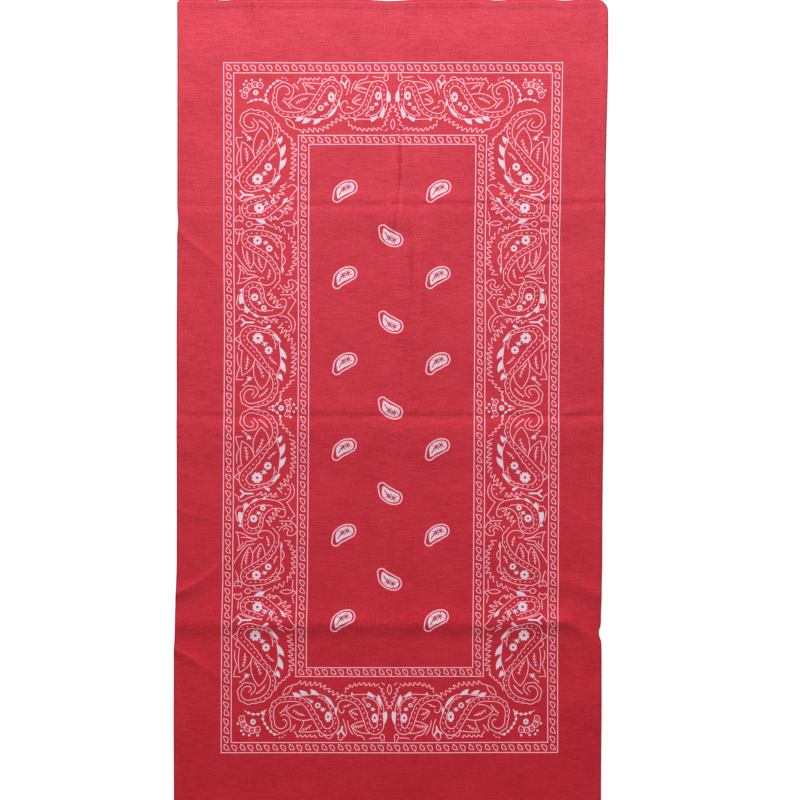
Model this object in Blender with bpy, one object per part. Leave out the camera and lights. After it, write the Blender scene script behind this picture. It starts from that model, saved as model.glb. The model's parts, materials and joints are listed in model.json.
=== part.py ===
"""Oblong woven cotton bandana, laid out flat: one panel with four narrow turned hems.

Units are metres, +Z is up. X runs across the cloth and Y along it, and the cloth rests on z = 0.
A point of the cloth is given by (across, along), its place on the cut rectangle from the middle.
shaped() carries that rectangle to the outline in which the cloth lies, and lift() gives the
height of the cloth's underside there: creases from folding, small ridges at the edges, soft
swells, and the step up over the turned hem. Between them the underside lies flat on z = 0.
"""

from collections import namedtuple

import bmesh
import bpy
import numpy as np

MM = 0.001

# Driving dimensions
WIDTH = 0.400
LENGTH = 0.760
PANEL_WALL = 0.0012
HEM_WIDTH = 0.0045
HEM_WALL = 0.0010
SEAM_GAP = 0.0003
# Between the ends of the hems, which the lean of the outline draws closer
CORNER_GAP = 0.00045

# Over the hem the panel steps up by the hem and the seam, and comes down again inside it
HEM_RISE = HEM_WALL + SEAM_GAP
HEM_SLOPE = 0.0050

# Spacing of the lines that the panel is modelled on, and the closest that two lines may be
GRID_STEP = 0.0150
CLOSEST_LINES = 0.0022
# How far in from an edge its dips fade
DIP_FADE = 0.040
# Extra lines, in mm, where the creases and the ridges at the edges bend the cloth most
LENGTHWISE_CREASE_LINES = (-10, -3, 1, 4, 7, 10.5, 15, 19, 27, 40)
EDGE_RIDGE_LINES = (158, 171, 182)
CROSS_CREASE_LINES = (192.8, 189, 183, -4, -8, -12, -20, -30, -195, -203, -209, -216)
UPPER_RIDGE_LINES = (140, 148, 155, 164, 174)
LOWER_RIDGE_LINES = (-166, -175, -184, -224, -235, -244)

COTTON_RED = (0.53, 0.035, 0.055, 1.0)
HEM_RED = (0.47, 0.028, 0.046, 1.0)

# The two long edges as they lie, in mm: how far along the cloth, then where each edge is
Side = namedtuple("Side", "along left right")
SIDES = (
    Side(along=-380, left=-202.5, right=195.8),
    Side(along=-235, left=-202.5, right=196.2),
    Side(along=-200, left=-201.3, right=195.8),
    Side(along=-140, left=-199.8, right=197.0),
    Side(along=60, left=-199.8, right=198.4),
    Side(along=195, left=-199.3, right=200.0),
    Side(along=340, left=-199.3, right=202.5),
    Side(along=380, left=-199.5, right=202.5),
)

# Small dips in the edges, in mm: which edge, its place on that edge, depth inwards, half length
Dip = namedtuple("Dip", "edge place depth reach")
DIPS = (
    Dip(edge="top", place=-156, depth=1.1, reach=12),
    Dip(edge="top", place=-2, depth=1.6, reach=30),
    Dip(edge="top", place=98, depth=1.1, reach=17),
    Dip(edge="top", place=160, depth=1.2, reach=15),
    Dip(edge="bottom", place=-96, depth=1.3, reach=26),
    Dip(edge="bottom", place=64, depth=1.5, reach=30),
    Dip(edge="right", place=-211, depth=2.4, reach=9),
    Dip(edge="left", place=172, depth=1.0, reach=14),
)

# Corner radii of the laid cloth, in mm: (across side, along side) as -1 or 1
CORNER_RADII = {(-1, -1): 5.0, (1, -1): 6.0, (-1, 1): 4.0, (1, 1): 11.0}

# Creases and ridges, in mm. A fold follows its line of (across, along, height) points. On the
# left and right of that line it is highest at its crest and ends at its foot. A crest of 0 is a
# ridge along the line itself; otherwise the line is a groove between two raised shoulders.
# left_share is the height of the left shoulder as a share of the right one.
Fold = namedtuple("Fold", "name line left_crest left_foot right_crest right_foot left_share")
FOLDS = (
    Fold(
        name="middle cross crease",
        line=((-203, -7, 1.8), (-60, -8, 2.2), (90, -9, 2.4), (199, -8, 2.0)),
        left_crest=4,
        left_foot=22,
        right_crest=12,
        right_foot=58,
        left_share=0.5,
    ),
    Fold(
        name="upper cross crease",
        line=((-200, 188, 0.7), (0, 189, 1.2), (201, 190, 1.1)),
        left_crest=4,
        left_foot=16,
        right_crest=6,
        right_foot=34,
        left_share=0.8,
    ),
    Fold(
        name="lower cross crease",
        line=((-203, -204, 2.2), (-60, -203, 3.2), (90, -203, 3.2), (168, -200, 1.6)),
        left_crest=0,
        left_foot=28,
        right_crest=0,
        right_foot=13,
        left_share=1.0,
    ),
    Fold(
        name="lower crease turning to the right edge",
        line=((128, -201, 0.6), (160, -201, 2.6), (182, -212, 3.4), (194, -236, 1.2)),
        left_crest=0,
        left_foot=18,
        right_crest=0,
        right_foot=15,
        left_share=1.0,
    ),
    Fold(
        name="lengthwise crease, upper",
        line=((7, 380, 0.7), (7, 300, 0.9), (6, 194, 1.1), (4, 170, 0.9)),
        left_crest=3.5,
        left_foot=14,
        right_crest=3.5,
        right_foot=12,
        left_share=0.8,
    ),
    Fold(
        name="lengthwise crease, middle",
        line=((19, 176, 0.7), (19, 100, 1.4), (12, 44, 1.6), (8, -2, 0.8)),
        left_crest=9,
        left_foot=32,
        right_crest=8,
        right_foot=26,
        left_share=0.7,
    ),
    Fold(
        name="lengthwise crease, lower",
        line=((8, -30, 0.5), (5, -110, 0.7), (3, -186, 0.6)),
        left_crest=4.5,
        left_foot=17,
        right_crest=4.5,
        right_foot=15,
        left_share=0.9,
    ),
    Fold(
        name="left edge ridge under the upper crease",
        line=((-199, 164, 1.8), (-158, 131, 0.7)),
        left_crest=0,
        left_foot=8,
        right_crest=0,
        right_foot=10,
        left_share=1.0,
    ),
    Fold(
        name="left edge ridge over the lower crease",
        line=((-200, -174, 2.2), (-180, -166, 1.8), (-158, -146, 0.7)),
        left_crest=0,
        left_foot=8,
        right_crest=0,
        right_foot=12,
        left_share=1.0,
    ),
    Fold(
        name="left edge ridge below the lower crease",
        line=((-203, -224, 2.6), (-182, -235, 2.1), (-158, -252, 0.7)),
        left_crest=0,
        left_foot=9,
        right_crest=0,
        right_foot=14,
        left_share=1.0,
    ),
    Fold(
        name="right edge ridge over the lower crease",
        line=((146, -160, 0.7), (172, -166, 1.9), (197, -177, 2.3)),
        left_crest=0,
        left_foot=12,
        right_crest=0,
        right_foot=16,
        left_share=1.0,
    ),
)
# How far, in mm, a fold fades past the ends of its line
FOLD_END_FADE = 14

# Soft swells, in mm: middle, half axes and height
Swell = namedtuple("Swell", "across along half_width half_length height")
SWELLS = (
    Swell(across=186, along=-282, half_width=40, half_length=64, height=2.6),
    Swell(across=-192, along=-290, half_width=36, half_length=58, height=1.9),
    Swell(across=-150, along=332, half_width=64, half_length=44, height=1.2),
    Swell(across=70, along=346, half_width=74, half_length=42, height=1.5),
    Swell(across=178, along=66, half_width=42, half_length=84, height=1.7),
    Swell(across=-188, along=58, half_width=34, half_length=62, height=1.3),
    Swell(across=92, along=-126, half_width=66, half_length=42, height=1.2),
    Swell(across=-96, along=-112, half_width=58, half_length=38, height=1.1),
    Swell(across=10, along=-318, half_width=92, half_length=46, height=1.6),
)


def clear_scene():
    for obj in list(bpy.data.objects):
        bpy.data.objects.remove(obj, do_unlink=True)


def smooth(t):
    """0 to 1 with level ends, for t from 0 to 1."""
    t = np.clip(t, 0.0, 1.0)
    return t * t * (3.0 - 2.0 * t)


def between(x, places, values):
    """Values at the places, joined by smooth steps."""
    i = np.clip(np.searchsorted(places, x, side="right") - 1, 0, len(places) - 2)
    places, values = np.array(places), np.array(values)
    t = smooth((x - places[i]) / (places[i + 1] - places[i]))
    return values[i] + t * (values[i + 1] - values[i])


def edge_distances(across, along):
    """How far the points are from each edge of the cut rectangle."""
    return {
        "left": across + WIDTH / 2,
        "right": WIDTH / 2 - across,
        "bottom": along + LENGTH / 2,
        "top": LENGTH / 2 - along,
    }


def round_corners(across, along):
    """Draws the corner squares in to quarter discs of the corner radii."""
    for (side_x, side_y), radius in CORNER_RADII.items():
        radius = radius * MM
        p = (side_x * across - (WIDTH / 2 - radius)) / radius
        q = (side_y * along - (LENGTH / 2 - radius)) / radius
        inside = (p > 0) & (q > 0)
        new_p = p * np.sqrt(1 - np.clip(q, 0, 1) ** 2 / 2)
        new_q = q * np.sqrt(1 - np.clip(p, 0, 1) ** 2 / 2)
        across = np.where(inside, side_x * (WIDTH / 2 - radius + new_p * radius), across)
        along = np.where(inside, side_y * (LENGTH / 2 - radius + new_q * radius), along)
    return across, along


def shaped(across, along):
    """The outline in which the cut rectangle lies: leaning sides, dips and round corners."""
    distances = edge_distances(across, along)
    across, along = round_corners(across, along)
    rows = sorted(SIDES)
    places = [row.along * MM for row in rows]
    left = between(along, places, [row.left * MM for row in rows])
    right = between(along, places, [row.right * MM for row in rows])
    share = across / WIDTH + 0.5
    x = left + share * (right - left)
    y = along
    for dip in DIPS:
        on_side = dip.edge in ("left", "right")
        offset = ((along if on_side else across) - dip.place * MM) / (dip.reach * MM)
        depth = dip.depth * MM * smooth(1 - np.abs(offset))
        depth = depth * smooth(1 - distances[dip.edge] / DIP_FADE)
        if on_side:
            x = x + depth * (1 if dip.edge == "left" else -1)
        else:
            y = y + depth * (1 if dip.edge == "bottom" else -1)
    return x, y


def side_profile(distance, crest, foot):
    """Height, from 0 to 1, of one side of a fold at a distance from its line."""
    if crest == 0:
        return np.clip(1 - distance / foot, 0, 1) ** 2 * (1 + distance / foot)
    rise = 1 - (1 - np.clip(distance / crest, 0, 1)) ** 2
    fall = smooth((foot - distance) / (foot - crest))
    return np.where(distance < crest, rise, fall)


def fold_height(fold, x, y):
    """Height of one fold at the points, found on the nearest stretch of its line."""
    nearest = np.full(x.shape, np.inf)
    height = np.zeros(x.shape)
    stretches = list(zip(fold.line, fold.line[1:]))
    for number, (start, end) in enumerate(stretches):
        ax, ay, bx, by = (value * MM for value in (*start[:2], *end[:2]))
        length = np.hypot(bx - ax, by - ay)
        ux, uy = (bx - ax) / length, (by - ay) / length
        reach = (x - ax) * ux + (y - ay) * uy
        side = (y - ay) * ux - (x - ax) * uy
        inside = np.clip(reach, 0, length)
        past = np.abs(reach - inside)
        away = np.hypot(past, side)
        at_end = ((number == 0) & (reach < 0)) | ((number == len(stretches) - 1) & (reach > length))
        fade = np.where(at_end, smooth(1 - past / (FOLD_END_FADE * MM)), 1.0)
        off_line = np.where(at_end, np.abs(side), away)
        line_height = (start[2] + (end[2] - start[2]) * inside / length) * MM
        left = fold.left_share * side_profile(off_line, fold.left_crest * MM, fold.left_foot * MM)
        right = side_profile(off_line, fold.right_crest * MM, fold.right_foot * MM)
        here = line_height * fade * np.where(side > 0, left, right)
        height = np.where(away < nearest, here, height)
        nearest = np.minimum(nearest, away)
    return height


def swell_height(swell, x, y):
    off = np.hypot(
        (x - swell.across * MM) / (swell.half_width * MM),
        (y - swell.along * MM) / (swell.half_length * MM),
    )
    return swell.height * MM * np.clip(1 - off**2, 0, 1) ** 2


def fold_relief(across, along):
    """Height of all folds and swells together."""
    height = sum(fold_height(fold, across, along) for fold in FOLDS)
    return height + sum(swell_height(swell, across, along) for swell in SWELLS)


def hem_step(across, along):
    """The panel's step up over the turned hem."""
    inward = np.min(list(edge_distances(across, along).values()), axis=0)
    return HEM_RISE * smooth(1 - (inward - HEM_WIDTH) / HEM_SLOPE)


def lift(across, along):
    """Height of the panel's underside over the floor."""
    return fold_relief(across, along) + hem_step(across, along)


def spaced_lines(half, features):
    """Lines from -half to half: the features and, GRID_STEP apart, plain lines between them."""
    kept = []
    for place in [-half, half, *features]:
        if all(abs(place - other) >= CLOSEST_LINES for other in kept):
            kept.append(place)
    kept.sort()
    lines = [kept[0]]
    for start, end in zip(kept, kept[1:]):
        count = max(1, round((end - start) / GRID_STEP))
        lines += [start + (end - start) * (i + 1) / count for i in range(count)]
    return lines


def hem_lines(half):
    """The lines that bound the hem and its slope, on both edges."""
    inward = (HEM_WIDTH, HEM_WIDTH + HEM_SLOPE)
    return [side * (half - place) for place in inward for side in (-1, 1)]


def grid_lines():
    """The panel's lines across and along, closer together where the folds are."""
    lengthwise = [place * MM for place in LENGTHWISE_CREASE_LINES]
    edge_ridges = [side * place * MM for place in EDGE_RIDGE_LINES for side in (-1, 1)]
    across = spaced_lines(WIDTH / 2, hem_lines(WIDTH / 2) + lengthwise + edge_ridges)
    crossing = CROSS_CREASE_LINES + UPPER_RIDGE_LINES + LOWER_RIDGE_LINES
    features = [place * MM for place in crossing]
    along = spaced_lines(LENGTH / 2, hem_lines(LENGTH / 2) + features)
    return across, along


def sheet_object(name, across, along, height, wall, material):
    """A sheet over a grid of lines, its underside at height(across, along), with a wall above."""
    grid_across, grid_along = np.meshgrid(across, along)
    x, y = shaped(grid_across, grid_along)
    z = height(grid_across, grid_along)
    mesh = bpy.data.meshes.new(name)
    bm = bmesh.new()
    rows = []
    for row in range(len(along)):
        points = zip(x[row], y[row], z[row])
        rows.append([bm.verts.new([float(value) for value in point]) for point in points])
    for low, high in zip(rows, rows[1:]):
        for i in range(len(low) - 1):
            bm.faces.new((low[i], low[i + 1], high[i + 1], high[i]))
    bm.to_mesh(mesh)
    bm.free()
    obj = bpy.data.objects.new(name, mesh)
    bpy.context.collection.objects.link(obj)
    solidify = obj.modifiers.new("Wall", "SOLIDIFY")
    solidify.thickness = wall
    solidify.offset = 1.0
    solidify.use_even_offset = True
    mesh.materials.append(material)
    mesh.shade_smooth()
    mesh.set_sharp_from_angle(angle=np.radians(40))


def cloth_material(name, colour):
    material = bpy.data.materials.new(name)
    material.use_nodes = True
    shader = material.node_tree.nodes["Principled BSDF"]
    shader.inputs["Base Color"].default_value = colour
    shader.inputs["Roughness"].default_value = 0.9
    shader.inputs["Metallic"].default_value = 0.0
    return material


def build_panel(material):
    across, along = grid_lines()
    sheet_object("panel", across, along, lift, PANEL_WALL, material)


def build_hems(material):
    """Four turned strips, each a seam's gap under the panel's edge and lifted with its folds.
    Those on the short edges run right across, and those on the long edges lie between them."""
    across, along = grid_lines()
    half_width, half_length = WIDTH / 2, LENGTH / 2
    for side, name in ((1, "hem_top"), (-1, "hem_bottom")):
        strip = sorted((side * half_length, side * (half_length - HEM_WIDTH)))
        sheet_object(name, across, strip, fold_relief, HEM_WALL, material)
    end = half_length - HEM_WIDTH - CORNER_GAP
    between_hems = [-end, *(place for place in along if abs(place) < end - CLOSEST_LINES), end]
    for side, name in ((-1, "hem_left"), (1, "hem_right")):
        strip = sorted((side * half_width, side * (half_width - HEM_WIDTH)))
        sheet_object(name, strip, between_hems, fold_relief, HEM_WALL, material)


def main():
    clear_scene()
    build_panel(cloth_material("dyed_cotton", COTTON_RED))
    build_hems(cloth_material("turned_cotton", HEM_RED))


main()
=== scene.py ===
"""Oblong cotton bandana, laid out flat: its cloth, print, hems, stitches and a plain stage.

Units are metres, +Z is up, and the cloth rests on z = 0. The print, the folds and the outline are
given in millimetres from the middle of the cloth. A point of the cloth is (across, along), its
place on the cut rectangle; a point of the print is the complex number across + 1j * along.
The print is worked into the cloth's mesh, so its edges are real edges with their own material.
"""

import json
from cmath import exp, phase
from collections import namedtuple
from math import ceil, cos, floor, pi, radians, sin

import bpy
import numpy as np
from bpy.props import FloatProperty, FloatVectorProperty, IntProperty, PointerProperty
from bpy.types import Operator, Panel, PropertyGroup
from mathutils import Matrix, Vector
from mathutils.geometry import delaunay_2d_cdt

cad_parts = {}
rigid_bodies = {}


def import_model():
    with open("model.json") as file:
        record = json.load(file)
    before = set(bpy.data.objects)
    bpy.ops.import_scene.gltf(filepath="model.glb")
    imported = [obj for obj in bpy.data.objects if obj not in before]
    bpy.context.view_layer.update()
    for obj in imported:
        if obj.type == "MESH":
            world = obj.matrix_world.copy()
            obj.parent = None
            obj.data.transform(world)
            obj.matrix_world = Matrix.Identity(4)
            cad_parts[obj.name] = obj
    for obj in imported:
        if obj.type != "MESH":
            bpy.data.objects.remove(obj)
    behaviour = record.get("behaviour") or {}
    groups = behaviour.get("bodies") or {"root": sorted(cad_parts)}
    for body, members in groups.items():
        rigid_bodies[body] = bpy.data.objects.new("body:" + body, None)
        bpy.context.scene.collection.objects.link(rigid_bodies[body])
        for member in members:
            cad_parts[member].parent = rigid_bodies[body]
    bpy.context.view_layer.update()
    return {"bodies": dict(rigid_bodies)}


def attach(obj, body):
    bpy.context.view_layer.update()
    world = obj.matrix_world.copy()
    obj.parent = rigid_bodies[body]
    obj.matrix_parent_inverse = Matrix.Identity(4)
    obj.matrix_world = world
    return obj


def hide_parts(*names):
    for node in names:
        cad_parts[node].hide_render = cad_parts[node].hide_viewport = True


bl_info = {
    "name": "Oblong bandana",
    "version": (1, 0, 0),
    "blender": (4, 5, 0),
    "location": "3D View > Sidebar > Bandana",
    "description": "A printed cotton bandana with turned hems, laid out flat with its fold creases",
    "category": "Add Mesh",
}

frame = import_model()
BODY = next(iter(frame["bodies"]))

# ---------------------------------------------------------------- sizes of the cloth, as in the CAD
MM = 0.001
WIDTH = 0.400
LENGTH = 0.760
HEM_WIDTH = 0.0045
# How far inwards the cloth slopes down from its hem
HEM_SLOPE = 0.0050
# Gap at a corner between two hems
CORNER_GAP = 0.00045
# How wide the sharp bend at the cloth's edge is, where it turns down and its colour is painted darker:
# painted shade
EDGE_BEND = 0.0009
# How far it turns down there, as a share of its rise over the hem
EDGE_DROP = 0.25
# How far inwards a dip in an edge fades out
DIP_FADE = 0.040
# How far past its ends a fold fades out, in mm
FOLD_END_FADE = 14

# The two long edges as they lie, in mm: how far along the cloth, then where each edge is
Side = namedtuple("Side", "along left right")
SIDES = (
    Side(along=-380, left=-202.5, right=195.8),
    Side(along=-235, left=-202.5, right=196.2),
    Side(along=-200, left=-201.3, right=195.8),
    Side(along=-140, left=-199.8, right=197.0),
    Side(along=60, left=-199.8, right=198.4),
    Side(along=195, left=-199.3, right=200.0),
    Side(along=340, left=-199.3, right=202.5),
    Side(along=380, left=-199.5, right=202.5),
)

# Small dips in the edges, in mm: which edge, its place on that edge, depth inwards, half length
Dip = namedtuple("Dip", "edge place depth reach")
DIPS = (
    Dip(edge="top", place=-156, depth=1.1, reach=12),
    Dip(edge="top", place=-2, depth=1.6, reach=30),
    Dip(edge="top", place=98, depth=1.1, reach=17),
    Dip(edge="top", place=160, depth=1.2, reach=15),
    Dip(edge="bottom", place=-96, depth=1.3, reach=26),
    Dip(edge="bottom", place=64, depth=1.5, reach=30),
    Dip(edge="right", place=-211, depth=2.4, reach=9),
    Dip(edge="left", place=172, depth=1.0, reach=14),
)

# Corner radii of the laid cloth, in mm: (across side, along side) as -1 or 1
CORNER_RADII = {(-1, -1): 5.0, (1, -1): 6.0, (-1, 1): 4.0, (1, 1): 11.0}

# Creases and ridges, in mm, close to those of the CAD. A fold follows its line of (across, along,
# height) points. On the left and right of that line it is highest at its crest and ends at its
# foot. A crest of 0 is a ridge along the line itself; otherwise the line is a groove between two
# raised shoulders. left_share is the height of the left shoulder as a share of the right one.
Fold = namedtuple("Fold", "name line left_crest left_foot right_crest right_foot left_share")


def ridge(name, line, left_foot, right_foot):
    return Fold(name, line, 0, left_foot, 0, right_foot, 1.0)


FOLDS = (
    Fold("middle cross crease",
         line=((-203, -7, 1.8), (-60, -7, 2.2), (90, -7.5, 2.4), (199, -8, 2.0)),
         left_crest=4, left_foot=22, right_crest=11, right_foot=58, left_share=0.36),
    Fold("upper cross crease",
         line=((-200, 188.5, 0.7), (0, 190, 1.2), (201, 190.5, 1.1)),
         left_crest=4, left_foot=16, right_crest=6, right_foot=34, left_share=0.8),
    ridge("lower cross crease",
          line=((-203, -204, 2.2), (-60, -203, 3.2), (90, -203, 3.2), (168, -200, 1.6)),
          left_foot=25, right_foot=16),
    ridge("lower crease turning to the right edge",
          line=((128, -201, 0.6), (160, -201, 2.3), (182, -212, 2.9), (194, -236, 1.2)),
          left_foot=18, right_foot=15),
    Fold("lengthwise crease, upper",
         line=((7, 380, 0.7), (7.5, 300, 0.9), (7.5, 213, 1.1), (4, 170, 0.9)),
         left_crest=3.5, left_foot=14, right_crest=3.5, right_foot=12, left_share=0.8),
    Fold("lengthwise crease, middle",
         line=((19, 176, 0.7), (19, 100, 1.4), (12, 44, 1.6), (8, -2, 0.8)),
         left_crest=9, left_foot=32, right_crest=8, right_foot=26, left_share=0.7),
    Fold("lengthwise crease, lower",
         line=((8, -30, 0.5), (5, -110, 0.7), (3, -186, 0.6)),
         left_crest=4.5, left_foot=17, right_crest=4.5, right_foot=15, left_share=0.9),
    ridge("left edge ridge under the upper crease",
          line=((-199, 164, 1.3), (-158, 131, 0.5)), left_foot=8, right_foot=10),
    ridge("left edge ridge over the lower crease",
          line=((-200, -174, 1.5), (-180, -166, 1.2), (-158, -146, 0.5)), left_foot=8, right_foot=12),
    ridge("left edge ridge below the lower crease",
          line=((-203, -224, 1.8), (-182, -235, 1.4), (-158, -252, 0.5)), left_foot=9, right_foot=14),
    ridge("right edge ridge over the lower crease",
          line=((146, -160, 0.7), (172, -166, 1.9), (197, -177, 2.3)), left_foot=12, right_foot=16),
)

# Soft swells, in mm: middle, half axes and height
Swell = namedtuple("Swell", "across along half_width half_length height")
SWELLS = (
    Swell(across=186, along=-282, half_width=40, half_length=64, height=2.6),
    Swell(across=-192, along=-290, half_width=36, half_length=58, height=1.9),
    Swell(across=-150, along=332, half_width=64, half_length=44, height=1.2),
    Swell(across=70, along=346, half_width=74, half_length=42, height=1.5),
    Swell(across=178, along=66, half_width=42, half_length=84, height=1.7),
    Swell(across=-188, along=58, half_width=34, half_length=62, height=1.3),
    Swell(across=92, along=-126, half_width=66, half_length=42, height=1.2),
    Swell(across=-96, along=-112, half_width=58, half_length=38, height=1.1),
    Swell(across=10, along=-318, half_width=92, half_length=46, height=1.6),
)

# ------------------------------------------------------------------ finer form, only in this scene
# Small creases, in mm, laid out as the large ones
FINE_FOLDS = (
    Fold("short crease by the upper left edge",
         line=((-131, 381, 0.9), (-130.2, 369, 1.6), (-128.6, 361, 1.6), (-125.4, 353, 0.7)),
         left_crest=3, left_foot=7, right_crest=1.7, right_foot=6, left_share=0.6),
    ridge("crooked crease under the lower crease",
          line=((10, -214, 0.3), (6, -226, 0.6), (5, -243, 0.2)), left_foot=4, right_foot=5),
    ridge("right edge ridge at the middle crease",
          line=((154, -10, 0.3), (166, -4, 0.9), (184, 0, 0.5)), left_foot=6, right_foot=8),
    ridge("pressed line on the ridge under the upper crease",
          line=((-197, 162, 0.4), (-179, 149, 0.6), (-159, 132, 0.3)), left_foot=2, right_foot=8),
    ridge("pressed line on the ridge over the lower crease",
          line=((-197, -173, 0.7), (-183, -164, 0.9), (-168, -154, 0.8), (-160, -145, 0.3)),
          left_foot=2.2, right_foot=9),
    ridge("pressed line on the ridge below the lower crease",
          line=((-198, -225, 0.9), (-180, -237, 1.0), (-159, -253, 0.3)), left_foot=2.2, right_foot=9),
    ridge("pressed line where the lower crease turns",
          line=((150, -197, 0.3), (168, -200, 0.8), (184, -208, 0.9), (196, -219, 0.4)),
          left_foot=5, right_foot=9),
    Fold("sharp line in the lengthwise crease, upper",
         line=((13, 372, 0.3), (12.4, 325, 0.7), (9, 275, 1.0), (7.5, 243, 1.6), (7.5, 216, 1.4),
               (7.5, 202, 0.3)),
         left_crest=5, left_foot=14, right_crest=1.7, right_foot=9, left_share=0.5),
    Fold("sharp line in the lengthwise crease at the upper cross crease",
         line=((-1, 197, 0.3), (0.8, 190, 1.2), (3, 181, 1.9), (3.6, 173, 1.7), (3.8, 164, 0.3)),
         left_crest=5, left_foot=12, right_crest=2.6, right_foot=10, left_share=0.4),
    Fold("sharp line in the lengthwise crease, middle",
         line=((17, 166, 0.4), (19.7, 146, 2.0), (22, 106, 2.5), (21.6, 56, 1.6), (21.5, 20, 0.2)),
         left_crest=5, left_foot=13, right_crest=4.6, right_foot=16, left_share=0.6),
    ridge("left edge pucker",
          line=((-200, -62, 0.6), (-181, -66, 0.2)), left_foot=7, right_foot=9),
    ridge("left edge pucker, lower",
          line=((-196, -96, 0.5), (-180, -102, 0.6), (-162, -106, 0.2)), left_foot=3.5, right_foot=6),
    ridge("right edge pucker, lower",
          line=((166, -96, 0.2), (180, -103, 0.6), (196, -113, 0.4)), left_foot=3.5, right_foot=6),
    ridge("right edge pucker",
          line=((198, 128, 0.7), (178, 121, 0.2)), left_foot=8, right_foot=7),
)
# Soft ripples of cloth that was washed and pressed, in mm: wavelengths, height and drift
Ripple = namedtuple("Ripple", "wave_across wave_along height drift")
RIPPLES = (
    Ripple(wave_across=210, wave_along=58, height=0.16, drift=1.7),
    Ripple(wave_across=74, wave_along=133, height=0.12, drift=0.4),
    Ripple(wave_across=-96, wave_along=37, height=0.07, drift=2.9),
)
# How the print lies, in mm: how far along, where its left and right framing lines are, and how far
# it has slipped along
PrintRow = namedtuple("PrintRow", "along left right slip")
PRINT_ROWS = (
    PrintRow(along=-314, left=-158.5, right=155.5, slip=-1.0),
    PrintRow(along=-282, left=-158.4, right=155.5, slip=0.9),
    PrintRow(along=-225, left=-158.1, right=155.4, slip=0.35),
    PrintRow(along=-150, left=-156.9, right=155.9, slip=-0.4),
    PrintRow(along=-75, left=-156.3, right=156.4, slip=-0.8),
    PrintRow(along=0, left=-155.7, right=156.5, slip=-1.3),
    PrintRow(along=74, left=-155.4, right=157.0, slip=-1.5),
    PrintRow(along=148, left=-155.9, right=157.1, slip=-1.4),
    PrintRow(along=223, left=-156.0, right=158.4, slip=-1.3),
    PrintRow(along=298, left=-156.1, right=159.8, slip=-1.0),
    PrintRow(along=320, left=-156.1, right=160.1, slip=-0.8),
)
# The print rises a little to the right, as a share of the way across
PRINT_TILT = 0.0008
# Half the print's width, and the width of the cloth's margin in which it finds its own place
PRINT_HALF = 0.1563
PRINT_MARGIN = 0.040


def smooth(t):
    """0 to 1 with level ends, for t from 0 to 1."""
    t = np.clip(t, 0.0, 1.0)
    return t * t * (3.0 - 2.0 * t)


def between(x, places, values):
    """Values at the places, joined by smooth steps."""
    i = np.clip(np.searchsorted(places, x, side="right") - 1, 0, len(places) - 2)
    places, values = np.array(places), np.array(values)
    t = smooth((x - places[i]) / (places[i + 1] - places[i]))
    return values[i] + t * (values[i + 1] - values[i])


def edge_distances(across, along):
    """How far the points are from each edge of the cut rectangle."""
    return {
        "left": across + WIDTH / 2,
        "right": WIDTH / 2 - across,
        "bottom": along + LENGTH / 2,
        "top": LENGTH / 2 - along,
    }


def inward_distance(across, along):
    """How far the points are from the nearest edge."""
    return np.min(list(edge_distances(across, along).values()), axis=0)


def round_corners(across, along):
    """Draws the corner squares in to quarter discs of the corner radii."""
    for (side_x, side_y), radius in CORNER_RADII.items():
        radius = radius * MM
        p = (side_x * across - (WIDTH / 2 - radius)) / radius
        q = (side_y * along - (LENGTH / 2 - radius)) / radius
        inside = (p > 0) & (q > 0)
        new_p = p * np.sqrt(1 - np.clip(q, 0, 1) ** 2 / 2)
        new_q = q * np.sqrt(1 - np.clip(p, 0, 1) ** 2 / 2)
        across = np.where(inside, side_x * (WIDTH / 2 - radius + new_p * radius), across)
        along = np.where(inside, side_y * (LENGTH / 2 - radius + new_q * radius), along)
    return across, along


def shaped(across, along):
    """The outline in which the cut rectangle lies: leaning sides, dips and round corners."""
    distances = edge_distances(across, along)
    across, along = round_corners(across, along)
    places = [row.along * MM for row in SIDES]
    left = between(along, places, [row.left * MM for row in SIDES])
    right = between(along, places, [row.right * MM for row in SIDES])
    share = across / WIDTH + 0.5
    x = left + share * (right - left)
    y = along
    for dip in DIPS:
        on_side = dip.edge in ("left", "right")
        offset = ((along if on_side else across) - dip.place * MM) / (dip.reach * MM)
        depth = dip.depth * MM * smooth(1 - np.abs(offset))
        depth = depth * smooth(1 - distances[dip.edge] / DIP_FADE)
        if on_side:
            x = x + depth * (1 if dip.edge == "left" else -1)
        else:
            y = y + depth * (1 if dip.edge == "bottom" else -1)
    return x, y


def laid(across, along):
    """Where the points of the cloth lie: inside its margin, the cloth lies as the print does."""
    x, y = shaped(across, along)
    places = [row.along * MM for row in PRINT_ROWS]
    left = between(along, places, [row.left * MM for row in PRINT_ROWS])
    right = between(along, places, [row.right * MM for row in PRINT_ROWS])
    slip = between(along, places, [row.slip * MM for row in PRINT_ROWS])
    inner = smooth(inward_distance(across, along) / PRINT_MARGIN)
    print_x = left + (across / PRINT_HALF + 1) / 2 * (right - left)
    print_y = along + slip + PRINT_TILT * across
    return x + (print_x - x) * inner, y + (print_y - y) * inner


def side_profile(distance, crest, foot):
    """Height, from 0 to 1, of one side of a fold at a distance from its line."""
    if crest == 0:
        return np.clip(1 - distance / foot, 0, 1) ** 2 * (1 + distance / foot)
    rise = 1 - (1 - np.clip(distance / crest, 0, 1)) ** 2
    fall = smooth((foot - distance) / (foot - crest))
    return np.where(distance < crest, rise, fall)


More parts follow.
